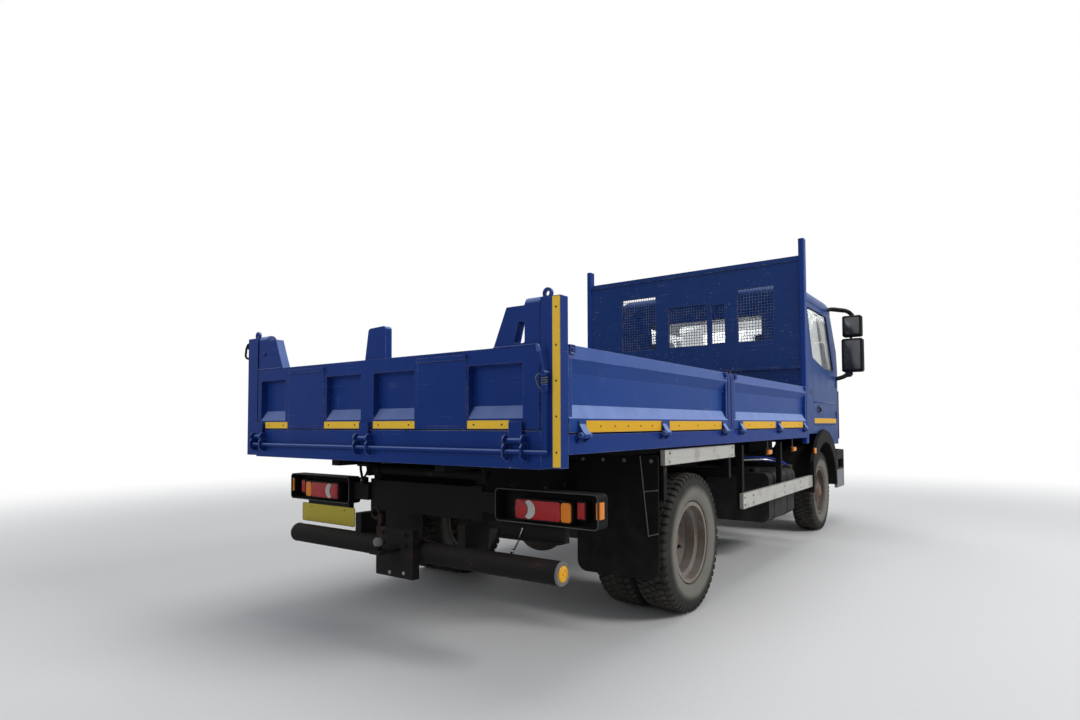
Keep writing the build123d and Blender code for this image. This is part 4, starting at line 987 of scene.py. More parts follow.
PROUD = 0.0015            # thickness of a strip
STRIP_X = ((0.192, 0.940), (1.030, 1.800), (2.210, 2.973), (3.124, 3.805))
STRIP_Z = (1.064, 1.115)
STRIP_RIVETS = (5, 3, 2, 2)
STRIP_MARGIN, GATE_MARGIN = 0.12, 0.04      # from a strip's end to its first rivet
POST_RIVETS_Z = (0.985, 1.13, 1.275, 1.42, 1.575)
GATE_STRIPS = ((0.735, 0.960), (0.096, 0.394), (-0.308, -0.007), (-0.885, -0.645))
GATE_FACE = 0.002         # rear face of the tailgate's frame


def marking(name, first, second, body, finish, points, out):
    """Yellow strip between two corners, with its rivets."""
    place(soften(block(name, first, second), 0.0006, 1), body, finish)
    place(rivets(name + "_rivets", points, out), body, rivet_dark)


def even(low, high, count, margin):
    """Places spread evenly between two values, in from the ends by the margin."""
    step = (high - low - 2 * margin) / (count - 1)
    return [low + margin + step * number for number in range(count)]


def yellow_strips():
    for side, sign in SIDES:
        outer = sign * (HALF + PROUD)
        for number, (start, end) in enumerate(STRIP_X):
            board = "rear" if number < 2 else "front"
            points = [at(x, outer, sum(STRIP_Z) / 2)
                      for x in even(start, end, STRIP_RIVETS[number], STRIP_MARGIN)]
            marking(f"side_strip_{side}_{number + 1}", at(start, sign * HALF, STRIP_Z[0]),
                    at(end, outer, STRIP_Z[1]), f"side_board_{board}_{side}", side_yellow, points, (0, sign, 0))
    points = [at(-PROUD, -1.130, z) for z in POST_RIVETS_Z]
    marking("post_strip", at(-PROUD, -1.149, 0.925), at(0, -1.111, 1.620), "bed", rear_yellow, points, BACK)
    for number, (right, left) in enumerate(GATE_STRIPS):
        points = [at(GATE_FACE - PROUD, y, 1.098) for y in even(right, left, 2, GATE_MARGIN)]
        marking(f"gate_strip_{number + 1}", at(GATE_FACE - PROUD, right, 1.080), at(GATE_FACE, left, 1.117),
                "tailgate", rear_yellow, points, BACK)


# Headboard mesh

MESH_PITCH = 0.027
WIRE = 0.0026             # radius
LAID = WIRE * 0.6         # how far the wires of each way lie off the mesh's middle
WINDOWS = ((0.329, 0.716, 1.872, 2.421), (-0.225, 0.183, 1.876, 2.285), (-0.406, -0.271, 1.887, 2.265),
           (-0.869, -0.533, 1.881, 2.387))              # right, left, bottom, top


def wire_row(start, end, way, span):
    """A wire and its copies over a span."""
    count = int(span / MESH_PITCH)
    return modify(rod("wire", start, end, WIRE, 8), "ARRAY", count=count + 1, use_relative_offset=False,
                  use_constant_offset=True, constant_offset_displace=Vector(way) * (span / count))


def wire_mesh():
    """Square wire mesh in each opening of the headboard."""
    middle = middle_of("headboard_mesh").x
    wires = []
    for right, left, bottom, top in WINDOWS:
        x = middle - LAID
        wires.append(wire_row((x, right, bottom), (x, right, top), (0, 1, 0), left - right))
        x = middle + LAID
        wires.append(wire_row((x, right, bottom), (x, left, bottom), (0, 0, 1), top - bottom))
    place(joined("wire_mesh", wires), "bed", head_paint, ["headboard_mesh"], smooth=50)


# Rear face

LATCHES = (-0.930, 0.045, 0.998)     # middle of each strap of the tailgate
LATCH_BAR = (-0.014, 1.031)          # x and z
EAR = 0.0076                         # thickness
EAR_TIP = ((-0.046, 1.0195), (-0.046, 1.034), (-0.038, 1.050), (-0.024, 1.057), (-0.010, 1.050), (0.0, 1.034),
           (0.0, 1.0195))
RISER = (-0.022, -1.086)             # x and y of the latch rod's riser


def latches():
    """A bar on each strap's foot, between ears whose tips rise on either side of it."""
    bars, ears = [], []
    for middle in LATCHES:
        x, z = LATCH_BAR
        bars.append(rod("latch_bars", at(x, middle - 0.040, z), at(x, middle + 0.040, z), 0.012, 20))
        for y in (middle - 0.048, middle + 0.048):
            ears.append(plate("latch_ears", [at(x, y - EAR / 2, z) for x, z in EAR_TIP], (0, EAR, 0)))
    place(soften(joined("latch_bars", bars), 0.002), "tailgate", body_paint)
    place(soften(joined("latch_ears", ears), 0.0012, 1), "bed", body_paint)


def latch_lever():
    """Collar, wire lashing and grip on the latch rod's riser at the right."""
    x, y = RISER
    turns = []
    for step in range(19):
        angle = step * math.tau / 6
        turns.append(at(x + 0.0125 * math.cos(angle), y + 0.0125 * math.sin(angle), 1.262 + step * 0.0016))
    turns += route(((x - 0.020, y + 0.022, 1.300), (x - 0.006, y + 0.030, 1.262),
                    (x - 0.004, y - 0.004, 1.225)))
    place(hose("riser_wire", turns, 0.0022), "bed", zinc_dull, smooth=60)
    profile = ((0.0095, -0.016), (0.0145, -0.014), (0.0155, 0), (0.0145, 0.014), (0.0095, 0.016))
    place(lathe("riser_collar", profile, at(x, y, 1.246), 24, axis="Z"), "bed", body_paint)
    grip = rod("lever_grip", at(-0.0345, -1.068, 1.394), at(-0.0365, -1.0625, 1.424), 0.0085, 20)
    place(soften(grip, 0.003), "bed", hinge_paint)


def hinge_details():
    """Washers and nuts of the tailgate's hinge pins, and the pin with a hanging link on the left."""
    washer = ((0.0145, -0.003), (0.0275, -0.003), (0.0285, 0.0), (0.0275, 0.0015), (0.0145, 0.0015))
    for side, sign in SIDES:
        inner = at(0.040, sign * 0.9645, 1.600)
        ring = lathe(f"hinge_washer_{side}", washer, inner, 32)
        nut = bolts(f"hinge_nut_{side}", [inner - Vector((0, sign * 0.0015, 0))], (0, -sign, 0), 0.017)
        place(joined(f"hinge_nut_{side}", [nut, ring]), "tailgate", body_paint, smooth=30)
        weld = hose(f"arm_weld_{side}", [at(-0.001, sign * y, 1.4305) for y in (0.80, 0.90, 1.0, 1.04)], 0.003)
        place(weld, "tailgate", body_paint, smooth=60)
    profile = ((0.0, 0.0), (0.015, 0.0), (0.015, 0.030), (0.021, 0.033), (0.021, 0.042), (0.012, 0.048),
               (0.0, 0.048))
    pin = lathe("hinge_link_pin", profile, at(0.030, HALF + 0.0005, 1.585), 24, closed=False)
    link = [at(x, HALF + y, z) for x, y, z in (
        (0.030, 0.030, 1.600), (0.022, 0.048, 1.590), (0.016, 0.058, 1.550), (0.022, 0.060, 1.515),
        (0.034, 0.056, 1.512), (0.040, 0.050, 1.545), (0.037, 0.038, 1.588))]
    place(joined("hinge_link", [pin, hose("hinge_link", link, 0.0065, closed=True)]), "bed", chassis_black,
          smooth=50)


def gate_fittings():
    """Bolt in the left arm, and a dark strip that fills the gap under the tailgate and paints the shade there.
    """
    # Dark strip in the gap under the tailgate: painted shadow
    place(slab("gate_shadow_strip", (0.020, 0.046), (-1.038, 1.038), (1.0728, 1.0792), 0.0015, 1), "tailgate", seal)
    place(bolts("arm_bolt", [at(GATE_FACE - 0.0005, 0.983, 1.520)], BACK, 0.008), "tailgate", body_paint,
          smooth=30)


# Lamps and plate at the rear

TAIL_Z = (0.645, 0.750)
LENS_Z = (0.653, 0.742)
TAIL_FACE = 0.3045
DISC_Y, DISC_RADIUS = 0.7165, 0.0355


def arc(centre, radius, reach, count):
    """Points of an arc in Y and Z, as far below the level as above it, in degrees."""
    turns = [math.radians(reach * (2 * step / count - 1)) for step in range(count + 1)]
    return [(centre[0] + radius * math.cos(turn), centre[1] + radius * math.sin(turn)) for turn in turns]


def tail_lamp():
    """Left tail lamp by finish: housing, red, white and amber lenses, a ring, and the marker at the end."""
    middle = sum(TAIL_Z) / 2
    housing = [panel("lamp_housing", (0.309, 0.375), (0.671, 1.004), TAIL_Z, 0.020, 0.003),
               panel("lamp_housing", (0.322, 0.375), (1.018, 1.068), (0.667, 0.753), 0.006, 0.002),
               panel("lamp_housing", (0.312, 0.350), (1.1255, 1.144), (0.672, 0.761), 0.004, 0.002)]
    sink(housing[0], facing(0, -1), 0.0045, 0.0015)
    dome = ((0.0, 0.0), (DISC_RADIUS, 0.0), (DISC_RADIUS, -0.00175), (DISC_RADIUS * 0.86, -0.00315),
            (0.0, -0.0035))
    red = [panel("red_lenses", (TAIL_FACE, 0.312), (0.680, 0.938), LENS_Z, 0.014, 0.002),
           lathe("red_lenses", dome, at(TAIL_FACE + 0.0005, DISC_Y, middle), 36, axis="X", closed=False),
           panel("red_lenses", (0.3175, 0.324), (1.024, 1.062), (0.674, 0.746), 0.004, 0.0015)]
    crescent = arc((0.752, middle), 0.0455, 84, 16) + arc((DISC_Y, middle), 0.0395, 58, 12)[::-1]
    white = plate("white_lens", [at(TAIL_FACE - 0.0015, *point) for point in crescent], (0.003, 0, 0))
    amber = [panel("amber_lenses", (TAIL_FACE, 0.312), (0.942, 0.997), LENS_Z, 0.014, 0.002),
             panel("amber_lenses", (0.3045, 0.346), (1.1275, 1.1490), (0.678, 0.755), 0.005, 0.003)]
    ring = lathe("lamp_ring", ((0.0355, 0.0), (0.0375, 0.0), (0.0375, -0.0022), (0.0355, -0.0022)),
                 at(TAIL_FACE, DISC_Y, middle), 40, axis="X")
    return {"housing": (joined("lamp_housing", housing), smooth_black),
            "red": (joined("red_lenses", red), red_lens),
            "white": (soften(white, 0.0006, 1), white_lens),
            "amber": (joined("amber_lenses", amber), amber_lens),
            "ring": (ring, trim_grey)}


def rear_lamps():
    for name, (piece, finish) in tail_lamp().items():
        other = twin(piece, f"tail_{name}_right", ACROSS)
        piece.name = piece.data.name = f"tail_{name}_left"
        for lamp_piece in (piece, other):
            place(lamp_piece, "chassis", finish, ["tail_lamps"] if name == "housing" else [])


@each_side
def tray_rims(side, sign):
    """Turned edge round the mouth of each lamp tray."""
    outline = round_rectangle((0.5625, 0.6335), (1.1425, 0.7875), 0.020)
    edge = rim(f"tray_rim_{side}", [at(0.2975, sign * y, z) for y, z in outline], 0.0028)
    place(edge, "chassis", trim_grey, smooth=60)


def underrun_ends():
    """Ring and round amber lens on each end of the underrun tube."""
    middle = at(0.250, 0.985, 0.436)
    profile = ((0.038, -0.004), (0.0552, -0.004), (0.0565, 0.001), (0.053, 0.007), (0.044, 0.008),
               (0.038, 0.005))
    ring = lathe("tube_end", profile, middle, 48)
    profile = ((0.0, -0.003), (0.037, -0.003), (0.037, 0.006), (0.033, 0.0095), (0.020, 0.011),
               (0.0185, 0.0085), (0.009, 0.0085), (0.007, 0.0115), (0.0, 0.012))
    eye = lathe("tube_end_lens", profile, middle, 48, closed=False)
    for piece, finish in ((ring, zinc_dull), (eye, end_lens)):
        other = twin(piece, f"{piece.name}_right", ACROSS)
        place(piece, "chassis", finish)
        place(other, "chassis", finish)


PLATE_FACE = 0.2968


def number_plate():
    """Blank yellow plate under the left lamp, with its edge and two screw caps."""
    outline = round_rectangle((0.504, 0.502), (1.016, 0.612), 0.010)
    sheet = plate("number_plate", [at(0.2985, *point) for point in outline], (-0.0016, 0, 0))
    place(soften(sheet, 0.0004, 1), "chassis", plate_yellow)
    place(rim("plate_edge", [at(PLATE_FACE, *point) for point in outline], 0.0014, 1), "chassis", plate_edge,
          smooth=60)
    caps = rivets("plate_caps", [at(PLATE_FACE, y, 0.592) for y in (0.600, 0.920)], BACK)
    place(caps, "chassis", rivet_dark)


BALL = ((0.0, 0.0235), (0.0095, 0.0235), (0.014, 0.0215), (0.0205, 0.0150), (0.0248, 0.0062), (0.0255, 0.0),
        (0.0248, -0.0062), (0.0215, -0.0136), (0.0165, -0.0196), (0.0, -0.0196))
TOW_FACE = 0.1495


def tow_details():
    """Turned ball, bolts of the towing plate, safety eye and the stays beside it."""
    ball = lathe("tow_ball_cap", BALL, at(0.045, 0, 0.505), 40, axis="Z", closed=False)
    place(ball, "chassis", zinc_dull, smooth=50)
    heads = bolts("tow_plate_bolts", [at(TOW_FACE, y, z) for y in (-0.085, 0.085) for z in (0.535, 0.480)],
                  BACK, 0.011)
    place(heads, "chassis", chassis_black, smooth=30)
    small = bolts("tow_plate_pins", [at(TOW_FACE, 0.030, 0.330), at(TOW_FACE, -0.075, 0.338)], BACK, 0.0065)
    place(small, "chassis", zinc, smooth=30)
    turns = [step * math.tau / 8 for step in range(8)]
    eye = [at(0.170, 0.169 + 0.030 * math.cos(turn), 0.625 + 0.028 * math.sin(turn)) for turn in turns]
    loop = hose("safety_eye", eye, 0.0075, closed=True)
    lug = slab("safety_eye", (0.166, 0.176), (0.118, 0.150), (0.540, 0.622), 0.004)
    place(joined("safety_eye", [loop, lug]), "chassis", chassis_black, smooth=50)
    stays = [hose("lamp_stay", route(((0.312, 0.475, 0.868), (0.306, 0.466, 0.840),
                                      (0.302, 0.447, 0.792))), 0.0075),
             hose("lamp_stay", route(((0.312, 0.400, 0.868), (0.306, 0.405, 0.835), (0.302, 0.424, 0.800),
                                      (0.302, 0.447, 0.788))), 0.006),
             slab("lamp_stay", (0.296, 0.336), (0.430, 0.462), (0.755, 0.795), 0.004),
             slab("lamp_stay", (0.296, 0.356), (0.385, 0.490), (0.858, 0.880), 0.004)]
    place(joined("lamp_stay", stays), "chassis", chassis_black, smooth=50)
    place(rivets("lamp_stay_pin", [at(0.295, 0.447, 0.779)], BACK), "chassis", zinc)
    stay = hose("shelf_stay", route(((0.336, -0.702, 0.602), (0.338, -0.690, 0.575), (0.339, -0.664, 0.520),
                                     (0.340, -0.640, 0.482))), 0.0055)
    tip = rod("shelf_stay", at(0.340, -0.640, 0.490), at(0.340, -0.632, 0.470), 0.010, 14)
    place(soften(joined("shelf_stay", [stay, tip]), 0.001, 1), "chassis", zinc, smooth=50)


FLAP_WIRES = (            # (y, z) points of each wire
    ((1.018, 0.930), (1.030, 0.820), (1.045, 0.680), (1.064, 0.508)),
    ((1.040, 0.742), (1.080, 0.748), (1.117, 0.753)),
    ((1.062, 0.512), (1.090, 0.520), (1.117, 0.528)))


@each_side
def flap_wires(side, sign):
    """Wire frame that holds each mudflap, on its rear face, and the bolts at its top."""
    name = f"flap_wires_{side}"
    wires = [hose(name, [at(0.9465, sign * y, z) for y, z in run], 0.0032) for run in FLAP_WIRES]
    place(joined(name, wires), "chassis", zinc_dull, smooth=60)
    places = [at(0.9495, sign * y, 0.905) for y in (0.66, 0.79, 0.92, 1.08)]
    place(bolts(f"flap_bolts_{side}", places, BACK, 0.008), "chassis", zinc_dull, smooth=30)


# Sides of the body

HINGES = (0.150, 0.950, 1.830, 2.150, 3.050, 3.830)
HINGE_Y, HINGE_Z = 1.172, 1.053
HINGE_REACH = 0.037
LATCH_ENDS = (("rear", "a", 0.067, 0.107), ("rear", "b", 1.876, 1.916), ("front", "a", 2.052, 2.092),
              ("front", "b", 3.889, 3.929))


@each_side
def hinge_pins(side, sign):
    """Pins with round heads through the knuckles of the side boards."""
    name = f"hinge_pins_{side}"
    pins = []
    for x in HINGES:
        for start, end, radius, sides in ((-HINGE_REACH, HINGE_REACH, 0.0065, 14), (-0.031, -0.039, 0.0118, 18),
                                          (0.031, 0.039, 0.0118, 18)):
            ends = route(((x + start, HINGE_Y, HINGE_Z), (x + end, HINGE_Y, HINGE_Z)), sign)
            pins.append(rod(name, *ends, radius, sides))
    place(soften(joined(name, pins), 0.0012, 1), "bed", hinge_paint, smooth=40)


@each_side
def board_latches(side, sign):
    """Spring latch let into both ends of each side board, with a pull under it."""
    outside = facing(1, sign)
    for board, end, start, stop in LATCH_ENDS:
        name, body = f"board_latch_{board}_{side}_{end}", f"side_board_{board}_{side}"
        case = slab(name, (start, stop), (1.130, 1.1545), (1.388, 1.4285), 0.003, sign=sign)
        sink(case, outside, 0.005, 0.004)
        x = (start + stop) / 2
        knob = rod(name, *route(((x, 1.148, 1.408), (x, 1.159, 1.408)), sign), 0.0075, 16)
        place(joined(name, [case, soften(knob, 0.001, 1)]), body, body_paint)
        pull = slab(name + "_pull", (start + 0.008, stop - 0.008), (1.1195, 1.1275), (1.302, 1.3785), 0.003,
                    sign=sign)
        place(sink(pull, outside, 0.005, 0.0025), body, hinge_paint)


@each_side
def board_rivets(side, sign):
    """Rivet heads at the ends of the side boards' sills."""
    for board, ends in (("rear", (0.100, 1.885)), ("front", (2.085, 3.895))):
        heads = rivets(f"sill_rivets_{board}_{side}", [at(x, sign * 1.1365, 1.1495) for x in ends],
                       (0, sign * 0.88, 0.47))
        place(heads, f"side_board_{board}_{side}", rivet_dark)


@each_side
def post_stops(side, sign):
    """Dark rubber stop down each middle post and the catch on its top."""
    name = f"post_stop_{side}"
    stop = slab(name, (1.9785, 1.9895), (HALF - 0.002, HALF + 0.002), (1.075, 1.405), 0.0018, sign=sign)
    catch = slab(name, (1.962, 2.006), (1.105, 1.147), (1.4225, 1.4420), 0.004, sign=sign)
    place(joined(name, [stop, catch]), "bed", smooth_black)


@each_side
def side_lamps(side, sign):
    """Amber lamps on their brackets under the body and behind the front wheels."""
    for number, x in enumerate((2.910, 3.620)):
        eye = slab(f"side_lamp_{side}_{number}", (x - 0.045, x + 0.045), (1.106, 1.130), (0.862, 0.898),
                   0.008, 3, sign)
        place(eye, "bed", amber_lens)
        name = f"side_lamp_base_{side}_{number}"
        base = slab(name, (x - 0.052, x + 0.052), (1.098, 1.106), (0.856, 0.904), 0.003, sign=sign)
        strap = slab(name, (x - 0.016, x + 0.016), (1.098, 1.106), (0.895, 0.975), 0.002, sign=sign)
        place(joined(name, [base, strap]), "bed", smooth_black)
    eye = slab(f"wheel_lamp_{side}", (4.535, 4.600), (1.064, 1.0835), (0.800, 0.860), 0.010, 3, sign)
    place(eye, "chassis", amber_lens)


GUARD_BOLTS = ([(x, z) for x in (2.300, 2.480, 3.290, 3.790) for z in (0.540, 0.592)]
               + [(x, z) for x in (1.080, 2.060) for z in (0.895, 0.942)])


@each_side
def guard_bolts(side, sign):
    """Bolts that hold the guard boards to their uprights."""
    places = [at(x, sign * 1.1265, z) for x, z in GUARD_BOLTS]
    place(bolts(f"guard_bolts_{side}", places, (0, sign, 0), 0.0065), "chassis", guard_white, smooth=30)


PIPES = (                 # name, finish, and the radius and points of each pipe
    ("steel_pipes", zinc, (
        (0.011, ((3.930, -0.480, 0.742), (4.060, -0.620, 0.752), (4.200, -0.760, 0.744),
                 (4.330, -0.800, 0.700))),
        (0.009, ((3.930, -0.480, 0.705), (4.040, -0.640, 0.712), (4.180, -0.800, 0.704),
                 (4.300, -0.850, 0.690))))),
    ("blue_pipes", pipe_blue, (
        (0.008, ((4.000, -0.480, 0.762), (4.120, -0.660, 0.775), (4.260, -0.820, 0.745),
                 (4.360, -0.870, 0.690))),
        (0.008, ((4.020, -0.480, 0.735), (4.140, -0.690, 0.742), (4.270, -0.850, 0.715),
                 (4.350, -0.900, 0.670))))))


def air_pipes():
    """Bent steel and coloured pipes between the tank and the silencer, and the clip that ties them."""
    for name, finish, runs in PIPES:
        pieces = [hose(name, route(points), radius) for radius, points in runs]
        place(joined(name, pieces), "chassis", finish, smooth=60)
    valve = slab("pipe_block", (3.900, 4.040), (-0.520, -0.432), (0.690, 0.780), 0.006)
    place(sink(valve, facing(1, -1), 0.010, 0.004), "chassis", cast_iron)
    place(slab("pipe_clip", (4.290, 4.370), (-0.910, -0.780), (0.664, 0.700), 0.005), "chassis", cast_iron)


RAIL_BOLTS_X = (0.420, 0.500, 0.900, 1.100, 1.850, 2.050, 2.250, 2.900, 3.150, 4.100, 4.250, 4.700, 5.350,
                5.500)


@each_side
def frame_bolts(side, sign):
    """Bolt rows on the outside of the chassis rails, by each crossmember and bracket."""
    places = [at(x, sign * 0.4305, z) for x in RAIL_BOLTS_X for z in (0.655, 0.730)]
    place(bolts(f"rail_bolts_{side}", places, (0, sign, 0), 0.010), "chassis", cast_iron, smooth=30)


# Cab

CAB_MIDDLE = REAR + 5.0


def cab_seals():
    """Rubber round the windscreen, the rear window and the door windows."""
    seals = [("cab_glass", "screen_seal", "cab", 0.011,
              lambda centre, normal: centre.x > CAB_MIDDLE and normal.x > 0.5),
             ("cab_glass", "rear_window_seal", "cab", 0.009,
              lambda centre, normal: centre.x < CAB_MIDDLE and normal.x < -0.9)]
    seals += [(f"door_glass_{side}", f"window_seal_{side}", f"door_{side}", 0.008, facing(1, sign, 0.9))
              for side, sign in SIDES]
    for node, name, body, radius, test in seals:
        place(seal_round(node, name, test, radius), body, seal, smooth=60)


def cab_panels():
    """Black panel under the windscreen, the grille's back and black deflectors on the front corners."""
    scuttle = patch("cab_front", "scuttle_panel", at(5.75, -0.90, 1.545), at(6.20, 0.90, 1.626),
                    lambda centre, normal: normal.x > 0.05 and centre.x > REAR + 5.72, 0.004)
    place(scuttle, "cab", smooth_black, smooth=40)
    back = slab("grille_back", (6.000, 6.010), (-0.575, 0.575), (0.945, 1.312), 0.002)
    place(sink(back, facing(0, 1), 0.02, 0.003), "cab", smooth_black)
    for side, sign in SIDES:
        skin = patch("cab_front", f"corner_deflector_{side}", at(5.845, sign * 0.82, 0.925),
                     at(6.10, sign * 1.10, 1.465),
                     lambda centre, normal, sign=sign: normal.y * sign > 0.04 or normal.x > 0.3, 0.012)
        place(skin, "cab", smooth_black, smooth=40)


HANDLE = ((4.858, 1.052, 1.262), (4.864, 1.066, 1.252), (4.872, 1.069, 1.240), (4.880, 1.066, 1.228),
          (4.886, 1.052, 1.218))


@each_side
def door_details(side, sign):
    """Handle in its recess, lock, crease and strip of each door."""
    door = f"door_{side}"
    recess = slab(f"handle_plate_{side}", (4.835, 4.912), (1.0495, 1.0545), (1.198, 1.282), 0.0022, sign=sign)
    place(sink(recess, facing(1, sign), 0.009, 0.003), door, trim_grey)
    place(hose(f"door_handle_{side}", route(HANDLE, sign), 0.0075), door, smooth_black, smooth=60)
    lock = rod(f"door_lock_{side}", *route(((4.898, 1.0525, 1.212), (4.898, 1.0575, 1.212)), sign), 0.007, 18)
    place(soften(lock, 0.001), door, zinc)
    crease = slab(f"door_crease_{side}", (4.665, 5.680), (1.048, 1.0545), (1.305, 1.325), 0.003, sign=sign)
    place(crease, door, cab_paint)
    strip = slab(f"door_strip_{side}", (4.680, 5.680), (1.0495, 1.0515), (1.100, 1.152), 0.0006, 1, sign)
    place(strip, door, side_yellow)


@each_side
def side_vents(side, sign):
    """Slats of the vents behind the doors."""
    name = f"side_vent_{side}"
    slats = [slab(name, (4.500, 4.600), (1.049, 1.0525), (z, z + 0.009), 0.0015, 1, sign)
             for z in (1.380, 1.400, 1.420)]
    place(joined(name, slats), "cab", smooth_black)


MIRRORS = (("upper", 5.790, (1.128, 1.292), (2.100, 2.300)), ("lower", 5.780, (1.120, 1.300), (1.702, 2.038)))
MIRROR_ARMS = (
    ("arm", 0.023, ((5.630, 0.955, 2.360), (5.690, 1.010, 2.392), (5.750, 1.085, 2.388), (5.815, 1.170, 2.368),
                    (5.850, 1.215, 2.322))),
    ("mount", 0.024, ((5.730, 1.040, 1.600), (5.755, 1.085, 1.612), (5.790, 1.140, 1.640),
                      (5.815, 1.185, 1.700))))


@each_side
def mirror_parts(side, sign):
    """Glass in the backs of the mirrors, the thick arm above and the mount below."""
    for name, x, y, z in MIRRORS:
        span = sorted(sign * value for value in y)
        pane = panel(f"mirror_{name}_{side}", (x - 0.0015, x + 0.004), span, z, 0.022, 0.0006)
        place(pane, "cab", mirror_face)
        outline = round_rectangle((span[0], z[0]), (span[1], z[1]), 0.022)
        edge = rim(f"mirror_rim_{name}_{side}", [at(x - 0.0005, *point) for point in outline], 0.004)
        place(edge, "cab", smooth_black, smooth=60)
    for name, radius, points in MIRROR_ARMS:
        arm = hose(f"mirror_{name}_{side}", route(points, sign), radius, sides=5)
        place(arm, "cab", smooth_black, smooth=60)


def wipers():
    """Two wiper arms with their blades at the foot of the windscreen."""
    x = 5.975
    for number, (pivot, tip) in enumerate(((0.520, -0.150), (-0.220, -0.830))):
        name = f"wiper_{number}"
        arm = hose(name, route(((x + 0.006, pivot, 1.600), (x - 0.012, pivot * 0.55 + tip * 0.45, 1.652),
                                (x - 0.055, tip * 0.8 + pivot * 0.2, 1.720))), 0.006)
        boss = lathe(name, ((0.0, 0.0), (0.022, 0.0), (0.021, 0.014), (0.012, 0.020), (0.0, 0.021)),
                     at(x - 0.014, pivot, 1.600), 24, axis="X", closed=False)
        blade = hose(name, route(((x - 0.030, pivot * 0.92 + tip * 0.08, 1.668),
                                  (x - 0.045, (pivot + tip) / 2, 1.690), (x - 0.052, tip, 1.716))), 0.007)
        place(joined(name, [arm, boss, blade]), "cab", smooth_black, smooth=50)


BOWL = ((0.0, -0.050), (0.014, -0.049), (0.030, -0.040), (0.044, -0.022), (0.0525, 0.0), (0.0545, 0.0),
        (0.046, -0.024), (0.031, -0.043), (0.0, -0.053))
BULB = ((0.0, -0.012), (0.007, -0.012), (0.009, -0.020), (0.009, -0.049), (0.0, -0.049))


@each_side
def front_lamps(side, sign):
    """Bowls and bulbs of the headlamps behind clear covers, and the lamp's dark back."""
    bowls = [lathe("bowl", profile, at(x, sign * y, 0.675), steps, axis="X", closed=False)
             for x, y in ((6.098, 0.725), (6.078, 0.845)) for profile, steps in ((BOWL, 40), (BULB, 20))]
    place(joined(f"headlamp_bowls_{side}", bowls), "chassis", lamp_bowl, smooth=60)
    back = panel(f"headlamp_back_{side}", (6.030, 6.036), (sign * 0.665, sign * 0.905), (0.610, 0.740), 0.034)
    place(back, "chassis", smooth_black)


PAD_PRESSURE, PAD_CAP = 4.0, 0.024
VOXEL = 0.0068
CHANNELS = (-0.085, 0.085)           # from the pad's middle
CHANNEL_HALF, HELD_ABOVE = 0.0042, 0.3      # half a channel's width, share of the height left free
CLOTH_FRAMES = 20


def swell(piece):
    """Fills a pad by cloth pressure, held along its channels, with no point moving further than the cap."""
    modify(piece, "REMESH", mode="VOXEL", voxel_size=VOXEL)
    before = [vertex.co.copy() for vertex in piece.data.vertices]
    heights = [point.z for point in before]
    foot = min(heights) + HELD_ABOVE * (max(heights) - min(heights))
    middle = sum(point.y for point in before) / len(before)
    held = piece.vertex_groups.new(name="held")
    for index, point in enumerate(before):
        near = min(abs(point.y - middle - channel) for channel in CHANNELS)
        if near < CHANNEL_HALF and point.z > foot:
            held.add([index], 1.0, "REPLACE")
    choose(piece)
    bpy.ops.object.modifier_add(type="CLOTH")
    cloth = piece.modifiers[-1]
    cloth.settings.use_pressure = True
    cloth.settings.uniform_pressure_force = PAD_PRESSURE
    cloth.settings.effector_weights.gravity = 0
    cloth.settings.vertex_group_mass = "held"
    cloth.point_cache.frame_start, cloth.point_cache.frame_end = 1, CLOTH_FRAMES
    for number in range(1, CLOTH_FRAMES + 1):
        bpy.context.scene.frame_set(number)
    bpy.ops.object.modifier_apply(modifier=cloth.name)
    piece.vertex_groups.clear()
    for vertex, start in zip(piece.data.vertices, before):
        step = vertex.co - start
        if step.length > PAD_CAP:
            vertex.co = start + step * (PAD_CAP / step.length)
    return modify(piece, "SUBSURF", levels=1, render_levels=1)


SEAT_Y, SEAT_SPACING = -0.600, 1.200
SEAT_BACK = ((4.655, 1.478), (4.745, 1.478), (4.668, 1.850), (4.585, 1.850))
HEAD_REST = ((4.588, 1.872), (4.655, 1.872), (4.638, 2.030), (4.568, 2.030))
BASE_FOOT, FOLD = 1.100, 0.050


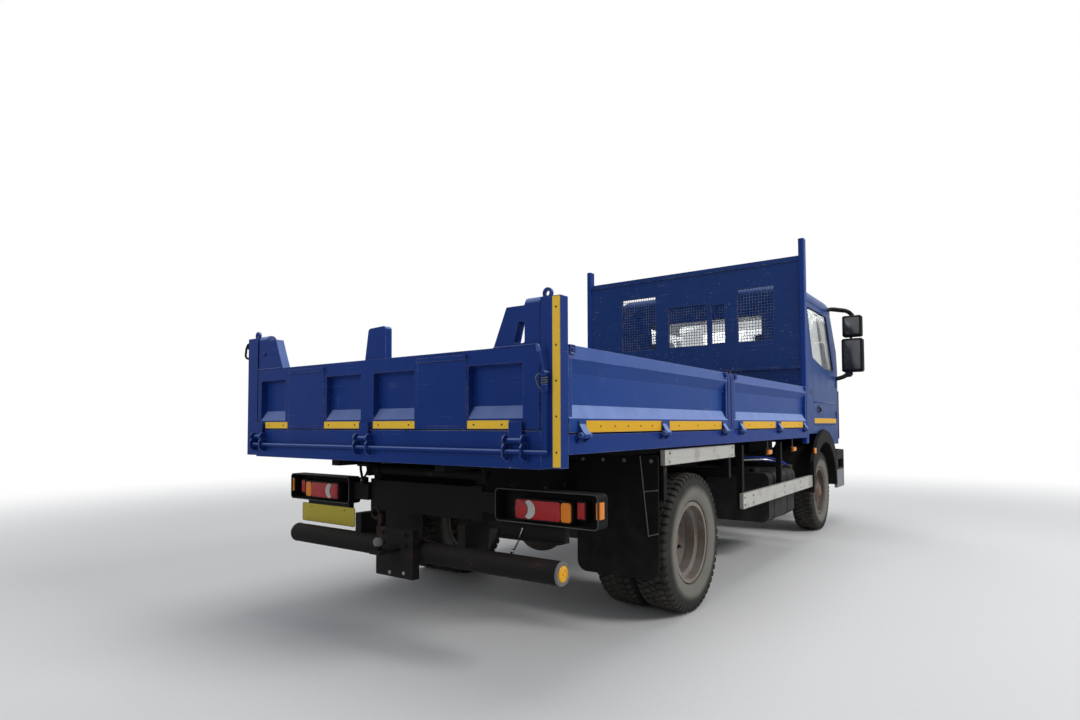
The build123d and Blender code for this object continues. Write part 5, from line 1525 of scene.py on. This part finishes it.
def seats():
    """Two sprung seats: base, channelled cushion and back, head rest and piping."""
    y = SEAT_Y
    base = slab("seat_base", (4.700, 5.080), (y - 0.190, y + 0.190), (BASE_FOOT, 1.370), 0.020, 3)
    for fold in range(1, 5):
        edit(base)
        bpy.ops.mesh.bisect(plane_co=at(0, 0, BASE_FOOT + fold * FOLD), plane_no=(0, 0, 1))
        leave_edit()
    pick(base, lambda centre, normal: abs(normal.z) < 0.5 and int((centre.z - BASE_FOOT) / FOLD) % 2 == 1)
    bpy.ops.mesh.inset(thickness=0.006, depth=-0.008)
    leave_edit()
    cushion = swell(slab("seat_cushion", (4.665, 5.130), (y - 0.222, y + 0.222), (1.385, 1.472), 0.030, 3))
    back = plate("seat_back", [at(x, y - 0.215, z) for x, z in SEAT_BACK], (0, 0.430, 0))
    back = swell(soften(back, 0.030, 3))
    rest = plate("head_rest", [at(x, y - 0.130, z) for x, z in HEAD_REST], (0, 0.260, 0))
    rest = modify(soften(rest, 0.026, 3), "SUBSURF", levels=1, render_levels=1)
    posts = [rod("head_rest_posts", at(4.622, side, 1.820), at(4.614, side, 1.900), 0.006, 12)
             for side in (y - 0.07, y + 0.07)]
    posts = soften(joined("head_rest_posts", posts), 0.0008, 1)
    outline = round_rectangle((4.668, y - 0.226), (5.134, y + 0.226), 0.040)
    piping = rim("seat_piping", [at(x, side, 1.462) for x, side in outline], 0.0035)
    pads = joined("seat_pads_right", [cushion, back, rest])
    for piece, name, finish, slot in ((base, "seat_base", black_plastic, "plastic_black"),
                                      (pads, "seat_pads", seat_cloth, "seat_cloth"),
                                      (posts, "head_rest_posts", zinc, "ram_chrome"),
                                      (piping, "seat_piping", seal, "seat_cloth")):
        other = twin(piece, f"{name}_left", Matrix.Translation((0, SEAT_SPACING, 0)))
        piece.name = piece.data.name = f"{name}_right"
        for half in (piece, other):
            place(half, "cab", finish, ["seats"] if name == "seat_pads" else [], smooth=50)
            name == "seat_pads"


for build in (camera, studio, floor, finish_nodes, tyres, wheel_nuts, yellow_strips, wire_mesh, latches,
              latch_lever, hinge_details, gate_fittings, rear_lamps, tray_rims, underrun_ends,
              number_plate, tow_details, flap_wires, hinge_pins, board_latches, board_rivets, post_stops,
              side_lamps, guard_bolts, air_pipes, frame_bolts, cab_seals, cab_panels, door_details,
              side_vents, mirror_parts, wipers, front_lamps, seats):
    build()
